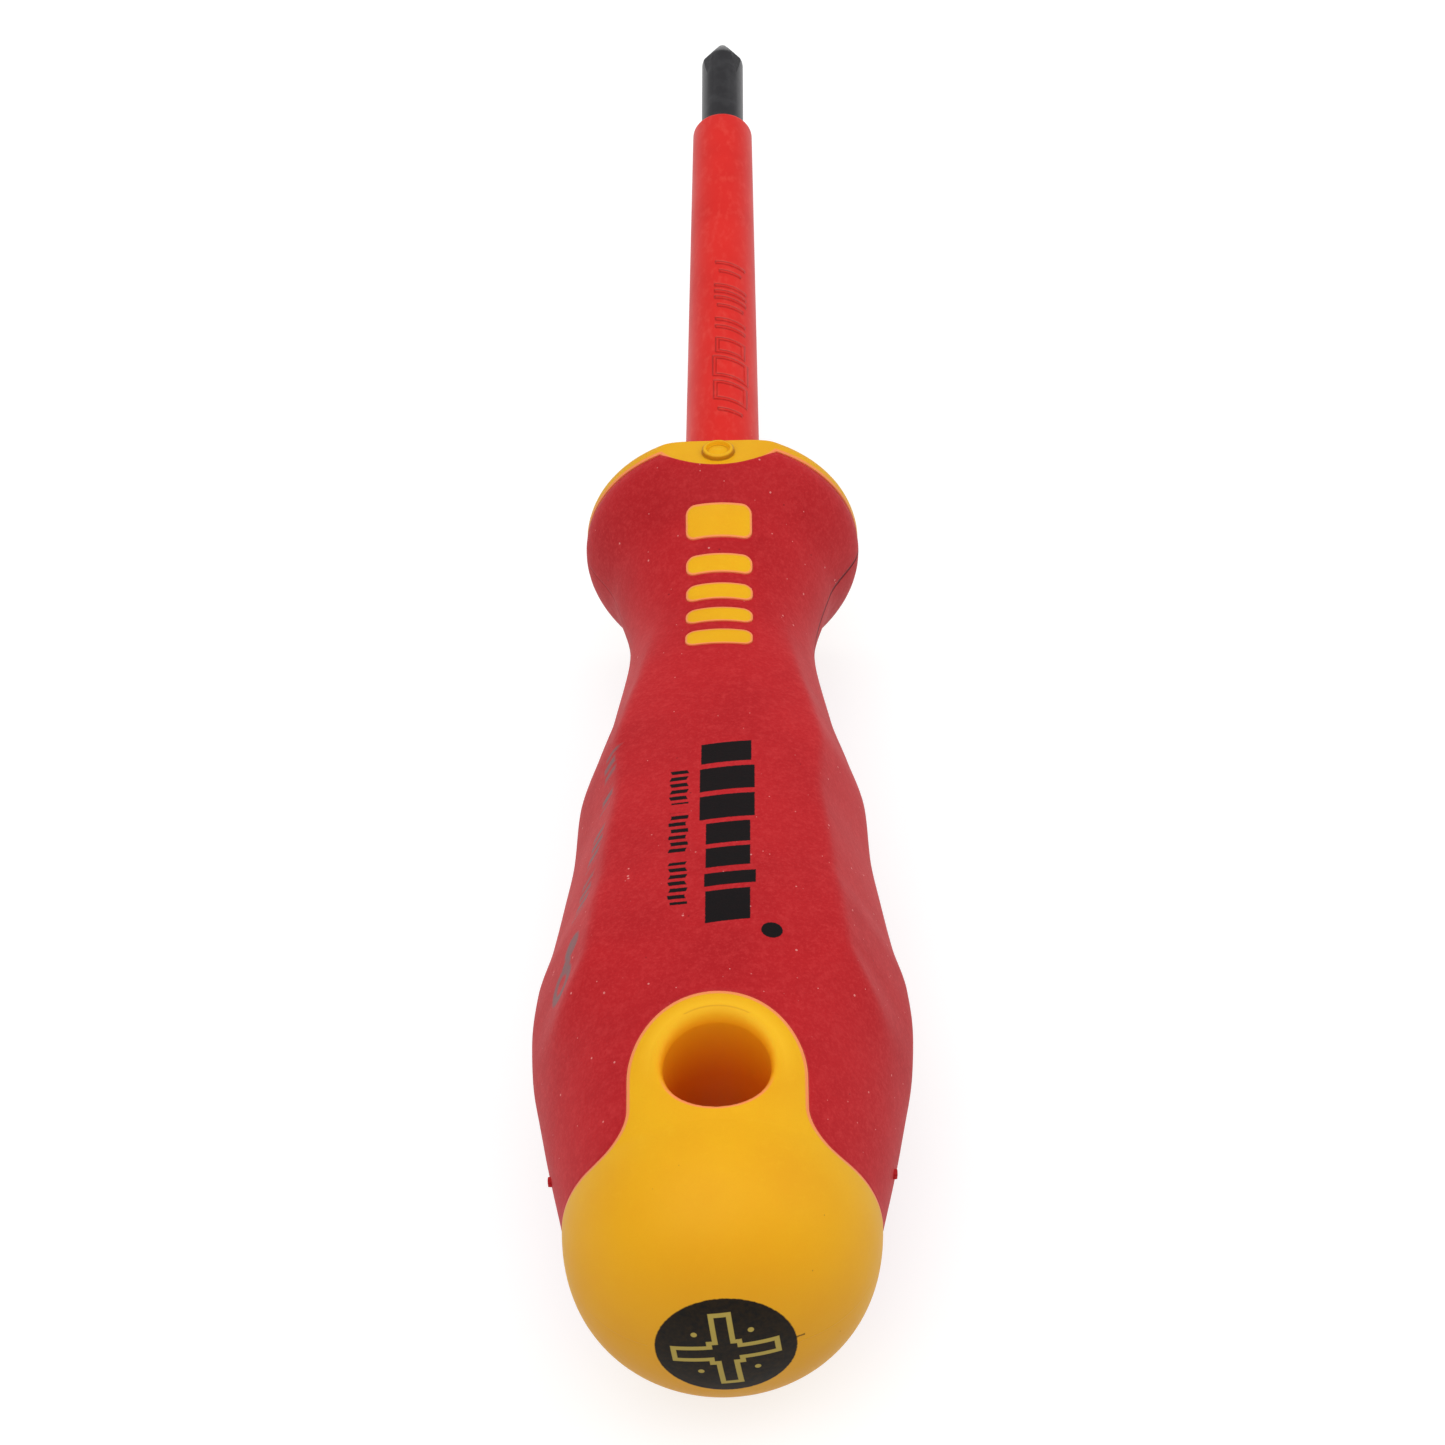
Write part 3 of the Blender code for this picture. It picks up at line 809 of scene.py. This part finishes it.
class Signal:
    # Wraps a socket, so that shader maths is written as plain expressions

    def __init__(self, bench, socket):
        self.bench = bench
        self.socket = socket

    def other(self, output):
        return Signal(self.bench, self.socket.node.outputs[output])

    def maths(self, operation, other=None, clamp=False):
        sockets = {0: self} if other is None else {0: self, 1: other}
        return self.bench.node("ShaderNodeMath", {"operation": operation, "use_clamp": clamp}, sockets)

    def __add__(self, other):
        return self.maths("ADD", other)

    def __sub__(self, other):
        return self.maths("SUBTRACT", other)

    def __rsub__(self, other):
        return self.bench.node("ShaderNodeMath", {"operation": "SUBTRACT"}, {0: other, 1: self})

    def __mul__(self, other):
        return self.maths("MULTIPLY", other)

    __radd__, __rmul__ = __add__, __mul__

    def __abs__(self):
        return self.maths("ABSOLUTE")

    def __gt__(self, other):
        return self.maths("GREATER_THAN", other)

    def __lt__(self, other):
        return self.maths("LESS_THAN", other)

    def least(self, other):
        return self.maths("MINIMUM", other)

    def most(self, other):
        return self.maths("MAXIMUM", other)

    def clamped(self):
        return self.maths("ADD", 0.0, True)

    def above(self, start, gain):
        # Nought up to the start, then rising to one
        return ((self - start) * gain).clamped()

    def root(self):
        return self.maths("SQRT")


class Bench:
    # Holds one material's nodes

    def __init__(self, name):
        self.material = bpy.data.materials.new(name)
        self.material.use_nodes = True
        self.tree = self.material.node_tree
        self.tree.nodes.clear()
        place = self.node("ShaderNodeTexCoord", {}, {}, "Object")
        atButt = self.node("ShaderNodeVectorMath", {"operation": "SUBTRACT"},
                           {0: place, 1: (0.0, buttAt * mm, axisHeight * mm)})
        self.place = self.node("ShaderNodeVectorMath", {"operation": "SCALE"}, {0: atButt, "Scale": 1 / mm})
        self.x = self.node("ShaderNodeSeparateXYZ", {}, {0: self.place}, "X")
        self.y = self.x.other("Y")
        self.z = self.x.other("Z")

    def node(self, kind, settings, sockets, output=0):
        made = self.tree.nodes.new(kind)
        for key, value in settings.items():
            setattr(made, key, value)
        for key, value in sockets.items():
            socket = made.inputs[key]
            if isinstance(value, Signal):
                self.tree.links.new(value.socket, socket)
            elif socket.type == "RGBA":
                socket.default_value = (*value, 1.0)
            else:
                socket.default_value = value
        return Signal(self, made.outputs[output])

    def noise(self, scale, detail=2.0, roughness=0.5, stretch=None):
        where = self.place
        if stretch:
            where = self.node("ShaderNodeMapping", {}, {"Vector": self.place, "Scale": stretch})
        return self.node("ShaderNodeTexNoise", {}, {"Vector": where, "Scale": scale, "Detail": detail,
                                                    "Roughness": roughness}, "Fac")

    def specks(self, scale, size, share):
        # Round spots of one size, kept in only a share of the cells
        cells = self.node("ShaderNodeTexVoronoi", {}, {"Vector": self.place, "Scale": scale}, "Distance")
        pick = self.node("ShaderNodeSeparateColor", {}, {0: cells.other("Color")}, 0)
        return ((size - cells) * (3 / size)).clamped() * (pick < share)

    def blend(self, factor, first, second):
        return self.node("ShaderNodeMix", {"data_type": "RGBA"}, {0: factor, 6: first, 7: second}, 2)

    def bump(self, height):
        # The height is in millimetres
        return self.node("ShaderNodeBump", {}, {"Height": height, "Distance": mm, "Strength": 1.0})

    def finish(self, sockets):
        shader = self.node("ShaderNodeBsdfPrincipled", {}, sockets)
        end = self.tree.nodes.new("ShaderNodeOutputMaterial")
        self.tree.links.new(shader.socket, end.inputs["Surface"])
        return self.material


def inkFrom(distance, soft=0.06):
    # One inside an outline, nought outside, with a soft edge in millimetres
    return (0.5 - distance * (1 / soft)).clamped()


def boxDistance(x, y, middle, half):
    return (abs(x - middle[0]) - half[0]).most(abs(y - middle[1]) - half[1])


def together(distances):
    # Several shapes as one
    return functools.reduce(Signal.least, distances)


def farFrom(x, y, middle):
    across = x - middle[0]
    along = y - middle[1]
    return (across * across + along * along).root()


def buttDistance(bench):
    # Signed distance from the edge of the butt zone, with its round inner corner
    fillet = zones["surroundFillet"]
    ahead = (bench.y - zones["surroundFromButt"]).most(0.0)
    surround = (bench.x * bench.x + ahead * ahead).root() - zones["surroundRadius"]
    cap = bench.y - zones["buttEdge"]
    first = (fillet - surround).most(0.0)
    second = (fillet - cap).most(0.0)
    return surround.least(cap).most(fillet) - (first * first + second * second).root()


def collarDistance(bench):
    scallop = farFrom(bench.x, bench.y, (0.0, zones["scallopCentre"])) - zones["scallopRadius"]
    return scallop.least(zones["collarStart"] - bench.y)


def padDistance(bench):
    # Rounded bars, above the axis only
    bars = []
    corner = zones["padCorner"]
    across = (abs(bench.x) - (zones["padHalfWidth"] - corner)).most(0.0)
    for behind, length in zones["padBars"]:
        along = (abs(bench.y - (zones["collarStart"] - behind)) - (length / 2 - corner)).most(0.0)
        bars.append((across * across + along * along).root() - corner)
    return together(bars) + (bench.z < 0.0) * zones["wide"]


yellow = {
    "colour": (0.84, 0.435, 0.006),
    "deep": (0.76, 0.34, 0.005),
    "pale": (0.88, 0.49, 0.015),
    # painted shade inside the hanging hole: deeper orange at the top of the wall, darker further down
    "holeShade": (0.92, 0.36, 0.006),
    # painted edge highlight along the seams and the hole's near lip
    "seam": (0.95, 0.255, 0.115),
    # painted shade: a deeper, darker orange towards the butt end
    "shadedButt": (0.80, 0.345, 0.006),
    "deepHoleShade": (0.80, 0.185, 0.003),
    # painted shade for the collar ring's grooves and the arc beyond the hole
    "shadow": (0.42, 0.16, 0.01),
    "dirt": (0.25, 0.11, 0.02),
    # painted highlight round the hanging hole's rim
    "rim": (0.92, 0.53, 0.02),
    "ink": (0.003, 0.0025, 0.002),
    "outlineInk": (0.50, 0.37, 0.075),
    "shadedButtUntil": 13.0,
    "seamHighlightHalves": (0.26, 0.34, 0.17),  # butt, collar, pads
    "faceFromAxis": 15.4,
    "haloReach": 1.3,
    # painted edge highlight on the hole's near lip
    "lip": (0.32, 0.16, 3.6),  # out from the hole, half width, deepest
    # painted shade line in a faint arc beyond the hole on the tip side
    "arcShade": (0.95, 0.05, 4.9),  # out from the hole, half width, towards the tip
    "ringHalf": 0.10,
    "groove": (0.98, 0.07),
    "printUntil": 6.0,
    "discRadius": 6.1,
    "crossTurn": math.radians(-5.5),
    "discMiddle": 0.3,
    "armLength": 4.7,
    "armHalfWidth": 1.0,
    "centreHalf": 1.55,
    "outline": 0.46,
    "dotPlace": (2.45, 2.45),
    "dotRadius": 0.27,
    "smear": ((6.6, 0.7), (0.45, 0.10)),
}


def crossDistance(x, z, shrink):
    # A plus with a wider square at its middle
    arm, half = yellow["armLength"] - shrink, yellow["armHalfWidth"] - shrink
    middle = yellow["centreHalf"] - shrink
    boxes = ((half, arm), (arm, half), (middle, middle))
    return together([boxDistance(x, z, (0.0, 0.0), box) for box in boxes])


def holeColours(bench, colour):
    # Painted highlight round the rim, and painted shade inside the hole: orange just inside it and darker
    # further down. A painted edge highlight lies along the near lip and a painted shade line in an arc beyond
    # the far side.
    holeAt = zones["holeFromButt"]
    reach = farFrom(bench.x, bench.y, (0.0, holeAt)) - core["holeRadius"]
    depth = yellow["faceFromAxis"] - abs(bench.z)
    ahead = ((bench.y - holeAt) * 0.22 + 0.45).clamped()
    near = ((holeAt - bench.y - 1.2) * 0.45).clamped()
    # painted highlight: a brighter band round the rim, stronger towards the tip
    halo = (1.0 - abs(reach - yellow["haloReach"])).clamped() * ahead
    colour = bench.blend(halo * 0.6, colour, yellow["rim"])
    # painted shade: the hole's wall goes deeper orange and darker with depth
    inside = (1.0 - reach * 1.7).clamped() * depth.above(-0.3, 0.8)
    wall = bench.blend(depth.above(0.6, 0.14), yellow["holeShade"], yellow["deepHoleShade"])
    colour = bench.blend(inside, colour, wall)
    # painted highlight: a peach line along the visible edge of the hole's near lip
    out, half, deepest = yellow["lip"]
    lip = inkFrom(abs(reach - out) - half, 0.14) * near * (depth < deepest)
    colour = bench.blend(lip * 0.8, colour, yellow["seam"])
    # painted shade: a faint dark arc line beyond the hole on the tip side
    out, half, along = yellow["arcShade"]
    arcShade = inkFrom(abs(reach - out) - half, 0.12) * (bench.y > holeAt + along)
    return bench.blend(arcShade * 0.4, colour, yellow["shadow"])


def markShade(bench):
    # The raised ring on the collar, with painted shade round its foot and in its grooves, stronger towards
    # the tip
    reach = farFrom(bench.x, bench.y, (0.0, core["markFromButt"]))
    outer = inkFrom(abs(reach - core["markRadius"]) - yellow["ringHalf"], 0.14)
    radius, half = yellow["groove"]
    inner = inkFrom(abs(reach - radius) - half, 0.16)
    return outer.most(inner * (0.45 + (bench.y - core["markFromButt"]) * 0.5).clamped())


def buttPrint(bench):
    # A dark disc with an outlined plus and four dots left bare
    cos, sin = math.cos(yellow["crossTurn"]), math.sin(yellow["crossTurn"])
    sideways = bench.x - yellow["discMiddle"]
    across = sideways * cos - bench.z * sin
    upright = sideways * sin + bench.z * cos
    ragged = bench.noise(3.0, 2.0) * 0.12 - 0.06
    atButt = bench.y < yellow["printUntil"]
    disc = inkFrom(farFrom(sideways, bench.z, (0.0, 0.0)) - yellow["discRadius"] + ragged, 0.1) * atButt
    outer = inkFrom(crossDistance(across, upright, 0.0))
    inner = inkFrom(crossDistance(across, upright, yellow["outline"]))
    dots = inkFrom(farFrom(abs(across), abs(upright), yellow["dotPlace"]) - yellow["dotRadius"])
    shows = (outer - inner).clamped().most(dots)
    smear = inkFrom(boxDistance(bench.x, bench.z, *yellow["smear"]) + ragged * 1.4) * atButt * 0.7
    return disc, shows, smear


def yellowPlastic():
    bench = Bench("yellowPlastic")
    cloud = bench.noise(0.12, 3.0)
    peel = bench.noise(1.3, 3.0, 0.55)
    fine = bench.noise(9.0, 2.0)
    colour = bench.blend((cloud - 0.35) * 1.6, yellow["colour"], yellow["deep"])
    colour = bench.blend(peel.above(0.55, 1.2), colour, yellow["pale"])
    grain = bench.noise(4.5, 3.0, 0.65)
    colour = bench.blend(grain.above(0.5, 0.9), colour, yellow["deep"])
    # painted shade: the yellow turns a deeper, darker orange towards the butt end
    colour = bench.blend(((yellow["shadedButtUntil"] - bench.y) * 0.09).clamped() * 0.6, colour, yellow["shadedButt"])
    colour = holeColours(bench, colour)
    butt, collar, pads = buttDistance(bench), collarDistance(bench), padDistance(bench)
    seam = butt.least(collar).least(pads)
    buttHalf, collarHalf, padHalf = yellow["seamHighlightHalves"]
    # painted highlight: a peach line along each seam with the red grip
    seamHighlight = inkFrom(abs(butt) - buttHalf, 0.14).most(inkFrom(abs(collar) - collarHalf, 0.2))
    seamHighlight = seamHighlight.most(inkFrom(abs(pads) - padHalf, 0.12))
    colour = bench.blend(seamHighlight * 0.85, colour, yellow["seam"])
    colour = bench.blend(markShade(bench) * 0.75, colour, yellow["shadow"])
    dirt = bench.specks(0.9, 0.07, 0.10)
    colour = bench.blend(dirt * 0.5, colour, yellow["dirt"])
    disc, shows, smear = buttPrint(bench)
    thin = 0.97 + bench.noise(2.2, 3.0) * 0.04
    colour = bench.blend(disc * thin, colour, yellow["ink"])
    colour = bench.blend(disc * shows * 0.9, colour, yellow["outlineInk"])
    colour = bench.blend(smear, colour, yellow["ink"])
    ink = disc.most(smear)
    groove = (abs(seam) * 3.0).clamped() * 0.06
    height = peel * 0.010 + fine * 0.0015 + groove + ink * 0.006
    parting = inkFrom(abs(bench.z) - 0.06, 0.08) * (bench.y > 1.0) * 0.02
    roughness = 0.46 + (cloud - 0.5) * 0.12 + peel * 0.08 + ink * 0.12 + dirt * 0.2
    return bench.finish({"Base Color": colour, "Roughness": roughness, "Normal": bench.bump(height + parting),
                         "IOR": 1.46, "Specular IOR Level": 0.16, "Subsurface Weight": 0.08,
                         "Subsurface Radius": (1.0, 0.35, 0.05), "Subsurface Scale": 0.0016})


red = {
    "colour": (0.51, 0.014, 0.019),
    "deep": (0.41, 0.009, 0.014),
    "dusty": (0.62, 0.042, 0.045),
    "fleck": (0.80, 0.32, 0.30),
    "darkSpeck": (0.16, 0.008, 0.012),
    # painted shade in the crease along the parting line
    "crease": (0.13, 0.004, 0.008),
    "creaseFrom": 66.0,
    # painted edge highlight along the seams with the yellow core
    "seam": (0.74, 0.10, 0.05),
    "ink": (0.003, 0.004, 0.0045),
    "faintInk": (0.19, 0.105, 0.11),
    "blockLean": 0.16,
    "blocks": (((0.8, 60.2), (2.3, 1.5)), ((0.9, 56.3), (2.5, 1.7)), ((0.9, 52.2), (2.5, 1.7)),
               ((1.0, 48.4), (2.0, 1.5)), ((1.0, 44.9), (2.0, 1.4)), ((1.2, 41.8), (2.3, 0.9)),
               ((1.0, 38.1), (2.0, 2.1))),
    "printFloor": 3.0,
    "spot": ((4.9, 35.0), 0.95),
    "dashes": (38.0, 57.7, -3.5, 0.78, 0.95),  # start, end, middle, half width, pitch
    "flankEdge": -4.0,
    "flankBand": 9.7,
    "flankRows": ((43.0, 53.5, 0.0, 1.1, 1.5), (56.5, 63.8, -0.2, 1.0, 1.5)),
    "flankRing": ((35.0, 8.9), 1.45, 0.5),
    "flankBlots": (((38.6, 10.1), 1.3), ((36.8, 9.5), 0.9)),
}


def topPrint(bench):
    # Plain slanted blocks in a row
    blocks = []
    for middle, half in red["blocks"]:
        leaning = bench.y - (bench.x - middle[0]) * red["blockLean"]
        blocks.append(boxDistance(bench.x, leaning, middle, half))
    return together(blocks)


def dashRow(bench, x, start, end, middle, half, pitch):
    # Short strokes across a row, in uneven lengths and groups
    y = bench.y
    stroke = abs(y.maths("PINGPONG", pitch) - pitch * 0.5) - pitch * 0.28
    slow = (y * (2.9 / pitch)).maths("SINE")
    gaps = (y * (0.83 / pitch)).maths("SINE")
    row = boxDistance(x + slow * half * 0.16, y, (middle, (start + end) / 2), (half, (end - start) / 2))
    return row.most(stroke).most((gaps - 0.86) * 2.0)


def flankMarks(bench):
    # Faint worn strokes, a ring and two blots along the left face
    middle, radius, half = red["flankRing"]
    ring = abs(farFrom(bench.y, bench.z, middle) - radius) - half
    rows = [dashRow(bench, bench.z - red["flankBand"], *row) for row in red["flankRows"]]
    blots = [farFrom(bench.y, bench.z, middle) - radius for middle, radius in red["flankBlots"]]
    return together(rows + [ring] + blots)


def redGrip():
    bench = Bench("redGrip")
    cloud = bench.noise(0.10, 3.0)
    mottled = bench.noise(1.1, 4.0, 0.6)
    grain = bench.noise(4.2, 3.0, 0.6)
    colour = bench.blend(cloud.above(0.4, 2.0), red["colour"], red["deep"])
    colour = bench.blend(mottled.above(0.48, 1.5), colour, red["dusty"])
    flecked = bench.noise(3.2, 2.0, 0.7)
    colour = bench.blend(flecked.above(0.5, 1.7), colour, red["dusty"])
    colour = bench.blend(((0.47 - flecked) * 1.8).clamped(), colour, red["deep"])
    specks = bench.specks(1.0, 0.13, 0.10).most(bench.specks(1.7, 0.12, 0.05))
    colour = bench.blend(specks * 0.7, colour, red["fleck"])
    colour = bench.blend(bench.specks(0.8, 0.09, 0.07) * 0.6, colour, red["darkSpeck"])
    seam = buttDistance(bench).least(collarDistance(bench)).least(padDistance(bench))
    # painted highlight: a lighter orange-red line along each seam with the yellow core
    seamHighlight = inkFrom(abs(seam) - 0.08, 0.14)
    colour = bench.blend(seamHighlight * 0.35, colour, red["seam"])
    ragged = bench.noise(5.0, 2.0) * 0.10 - 0.05
    topMarks = topPrint(bench).least(dashRow(bench, bench.x, *red["dashes"]))
    middle, radius = red["spot"]
    spot = farFrom(bench.x, bench.y, middle) - radius
    ink = inkFrom(topMarks.least(spot) + ragged, 0.07) * (bench.z > red["printFloor"])
    faint = inkFrom(flankMarks(bench) + ragged * 2.5, 0.35) * (bench.x < red["flankEdge"])
    colour = bench.blend((faint * (0.5 + bench.noise(0.9, 3.0) * 0.7)).clamped(), colour, red["faintInk"])
    ink = ink * (0.985 + bench.noise(1.6, 4.0, 0.65) * 0.015)
    colour = bench.blend(ink, colour, red["ink"])
    height = grain * 0.018 + mottled * 0.022 + (abs(seam) * 2.6).clamped() * 0.09 + ink * 0.006
    # painted shade: a dark line in the parting-line crease towards the front, much darker on the right side
    crease = inkFrom(abs(bench.z) - 0.13, 0.14) * (bench.y > red["creaseFrom"])
    crease = crease * (0.2 + (bench.x > 0.0) * 0.75)
    colour = bench.blend(crease, colour, red["crease"])
    roughness = 0.52 + (cloud - 0.5) * 0.12 + grain * 0.12 + ink * 0.05
    return bench.finish({"Base Color": colour, "Roughness": roughness,
                         "Normal": bench.bump(height - crease * 0.16), "IOR": 1.45,
                         "Specular IOR Level": 0.14, "Diffuse Roughness": 0.6})


sleeveRed = {
    "colour": (0.72, 0.022, 0.016),
    "deep": (0.63, 0.013, 0.010),
    # also the painted highlight on one side of each raised mark
    "lit": (0.80, 0.10, 0.075),
    # painted shade on the other side of each raised mark
    "shadedEdge": (0.36, 0.006, 0.006),
    "speck": (0.75, 0.28, 0.2),
    "markMiddle": 0.9,
    "markBars": ((143.0, (1.5, 0.18)), (141.6, (1.1, 0.18)), (139.2, (1.6, 0.18)),
                 (138.2, (1.6, 0.18)), (137.2, (1.6, 0.18)), (135.9, (1.3, 0.18)),
                 (133.6, (1.5, 0.2)), (132.4, (1.5, 0.2)), (119.2, (1.2, 0.18))),
    "markBoxes": ((129.4, (1.3, 1.0)), (126.0, (1.6, 1.4)), (122.2, (1.5, 1.3))),
    "markLine": 0.17,
    "markLean": 0.22,
    "markShift": 0.20,
    "markHeight": 0.22,
}


def sleeveMarks(bench, shift):
    # Plain raised bars and boxes in one row along the top
    middle = sleeveRed["markMiddle"]
    y = bench.y + shift + (bench.x - middle) * sleeveRed["markLean"]
    bars = [boxDistance(bench.x, y, (middle, place), half) for place, half in sleeveRed["markBars"]]
    boxes = [abs(boxDistance(bench.x, y, (middle, place), half)) - sleeveRed["markLine"]
             for place, half in sleeveRed["markBoxes"]]
    return inkFrom(together(bars + boxes), 0.16) * (bench.z > 0.5)


def sleevePlastic():
    bench = Bench("sleevePlastic")
    cloud = bench.noise(0.15, 3.0)
    peel = bench.noise(1.4, 3.0, 0.55, (1.0, 0.5, 1.0))
    fine = bench.noise(7.0, 2.0)
    colour = bench.blend(cloud.above(0.4, 2.0), sleeveRed["colour"], sleeveRed["deep"])
    colour = bench.blend(peel.above(0.5, 1.2), colour, sleeveRed["lit"])
    colour = bench.blend(bench.specks(1.0, 0.07, 0.06) * 0.5, colour, sleeveRed["speck"])
    marks = sleeveMarks(bench, 0.0)
    # painted highlight on one side and painted shade on the other side of each raised mark
    litEdge = (sleeveMarks(bench, -sleeveRed["markShift"]) - marks).clamped()
    shadedEdge = (sleeveMarks(bench, sleeveRed["markShift"]) - marks).clamped()
    colour = bench.blend(litEdge * 0.45, colour, sleeveRed["lit"])
    colour = bench.blend(shadedEdge * 0.5, colour, sleeveRed["shadedEdge"])
    height = peel * 0.012 + fine * 0.002 + marks * sleeveRed["markHeight"]
    roughness = 0.40 + (cloud - 0.5) * 0.14 + peel * 0.08
    return bench.finish({"Base Color": colour, "Roughness": roughness, "Normal": bench.bump(height),
                         "IOR": 1.46, "Specular IOR Level": 0.18, "Subsurface Weight": 0.05,
                         "Subsurface Radius": (1.0, 0.2, 0.1), "Subsurface Scale": 0.0012})


steel = {
    "colour": (0.030, 0.029, 0.033),
    "bright": (0.10, 0.10, 0.105),
    "worn": (0.30, 0.29, 0.29),
    "wornFrom": 182.6,
    "band": (0.025, 0.025, 0.028),
    "bandFromButt": 171.2,
    "bandHalf": 0.2,
}


def darkSteel():
    bench = Bench("darkSteel")
    cloud = bench.noise(0.5, 4.0, 0.6)
    drawn = bench.noise(3.0, 3.0, 0.6, (1.0, 0.12, 1.0))
    grain = bench.noise(8.0, 3.0, 0.6)
    colour = bench.blend(cloud.above(0.45, 2.2) * 0.6, steel["colour"], steel["bright"])
    tipWear = bench.y.above(steel["wornFrom"], 0.5) * grain.above(0.42, 5.0)
    colour = bench.blend(tipWear * 0.6, colour, steel["worn"])
    band = inkFrom(abs(bench.y - steel["bandFromButt"]) - steel["bandHalf"], 0.4)
    colour = bench.blend(band * 0.3, colour, steel["band"])
    height = drawn * 0.010 + grain * 0.004
    roughness = 0.34 + cloud * 0.16 + drawn * 0.06 - tipWear * 0.08
    metallic = 0.75 + tipWear * 0.25
    return bench.finish({"Base Color": colour, "Roughness": roughness, "Metallic": metallic,
                         "Normal": bench.bump(height), "Coat Weight": 0.08 + cloud * 0.1,
                         "Coat Roughness": 0.25})


grey = {
    "colour": (0.11, 0.11, 0.12),
    "pale": (0.16, 0.155, 0.15),
}


def greyPlastic():
    bench = Bench("greyPlastic")
    cloud = bench.noise(0.3, 4.0, 0.6)
    grain = bench.noise(5.0, 3.0)
    colour = bench.blend(cloud.above(0.4, 2.0), grey["colour"], grey["pale"])
    return bench.finish({"Base Color": colour, "Roughness": 0.45 + grain * 0.15,
                         "Normal": bench.bump(grain * 0.02 + cloud * 0.03)})


def dress(piece, material):
    piece.data.materials.clear()
    piece.data.materials.append(material)


studio = {
    "airStrength": 0.57,
    "floorColour": (0.42, 0.42, 0.42),
    "floorMottle": (0.40, 0.40, 0.405),
    "floorGlow": 0.68,
    "floorSize": 6.0,
    "floorGap": 0.0002,
    "lamps": (("keyLamp", 8.8, 1.6, (-0.25, -0.35, 1.2)), ("sideLamp", 3.0, 1.1, (0.9, 0.0, 0.8))),
    "cameraBack": 0.37553,
    "cameraUp": 0.34724,
    "cameraPitch": math.radians(46.07),
    "cameraRoll": math.radians(2.0),
    "lens": 129.98,
    "sensorWidth": 36.0,
    "clipStart": 0.01,
}


def makeStudio():
    clearSelection()
    low = cadLow[2] - studio["floorGap"]
    bpy.ops.mesh.primitive_plane_add(size=studio["floorSize"], location=(0.0, 0.0, low))
    floor = named("studioFloor")
    bench = Bench("palePaper")
    speckle = bench.noise(0.02, 3.0)
    shade = bench.blend(speckle.above(0.4, 1.5), studio["floorColour"], studio["floorMottle"])
    dress(floor, bench.finish({"Base Color": shade, "Roughness": 0.9, "Specular IOR Level": 0.1,
                               "Emission Color": (1.0, 1.0, 1.0), "Emission Strength": studio["floorGlow"]}))
    floor.visible_diffuse = False
    world = bpy.data.worlds.new("studioAir")
    bpy.context.scene.world = world
    world.use_nodes = True
    air = world.node_tree.nodes["Background"]
    air.inputs["Color"].default_value = (1.0, 1.0, 1.0, 1.0)
    air.inputs["Strength"].default_value = studio["airStrength"]
    for name, power, size, place in studio["lamps"]:
        bpy.ops.object.light_add(type="AREA", location=place)
        lamp = bpy.context.active_object
        lamp.name = name
        lamp.data.shape = "DISK"
        lamp.data.size = size
        lamp.data.energy = power
        lamp.rotation_euler = lamp.location.to_track_quat("Z", "Y").to_euler()


def makeCamera():
    lookData = bpy.data.cameras.new("studioCamera")
    look = bpy.data.objects.new("studioCamera", lookData)
    bpy.context.collection.objects.link(look)
    lookData.lens = studio["lens"]
    lookData.sensor_width = studio["sensorWidth"]
    lookData.clip_start = studio["clipStart"]
    up, roll = studio["cameraUp"], studio["cameraRoll"]
    look.location = (up * math.sin(roll), -studio["cameraBack"], up * math.cos(roll) + axisHeight * mm)
    look.rotation_euler = (studio["cameraPitch"], roll, 0.0)
    bpy.context.scene.camera = look


pieces = [makeBlade(), makeSleeve(), makeHandleCore(), makeSoftGrip()]
print("pieces made")
for piece, finish in zip(pieces, (darkSteel, sleevePlastic, yellowPlastic, redGrip)):
    dress(piece, finish())
hidden = greyPlastic()
for slot in bpy.data.objects["inner_core"].material_slots:
    slot.material = hidden
print("finishes made")
makeStudio()
makeCamera()
bpy.context.scene.view_settings.view_transform = "Standard"
print("studio made")
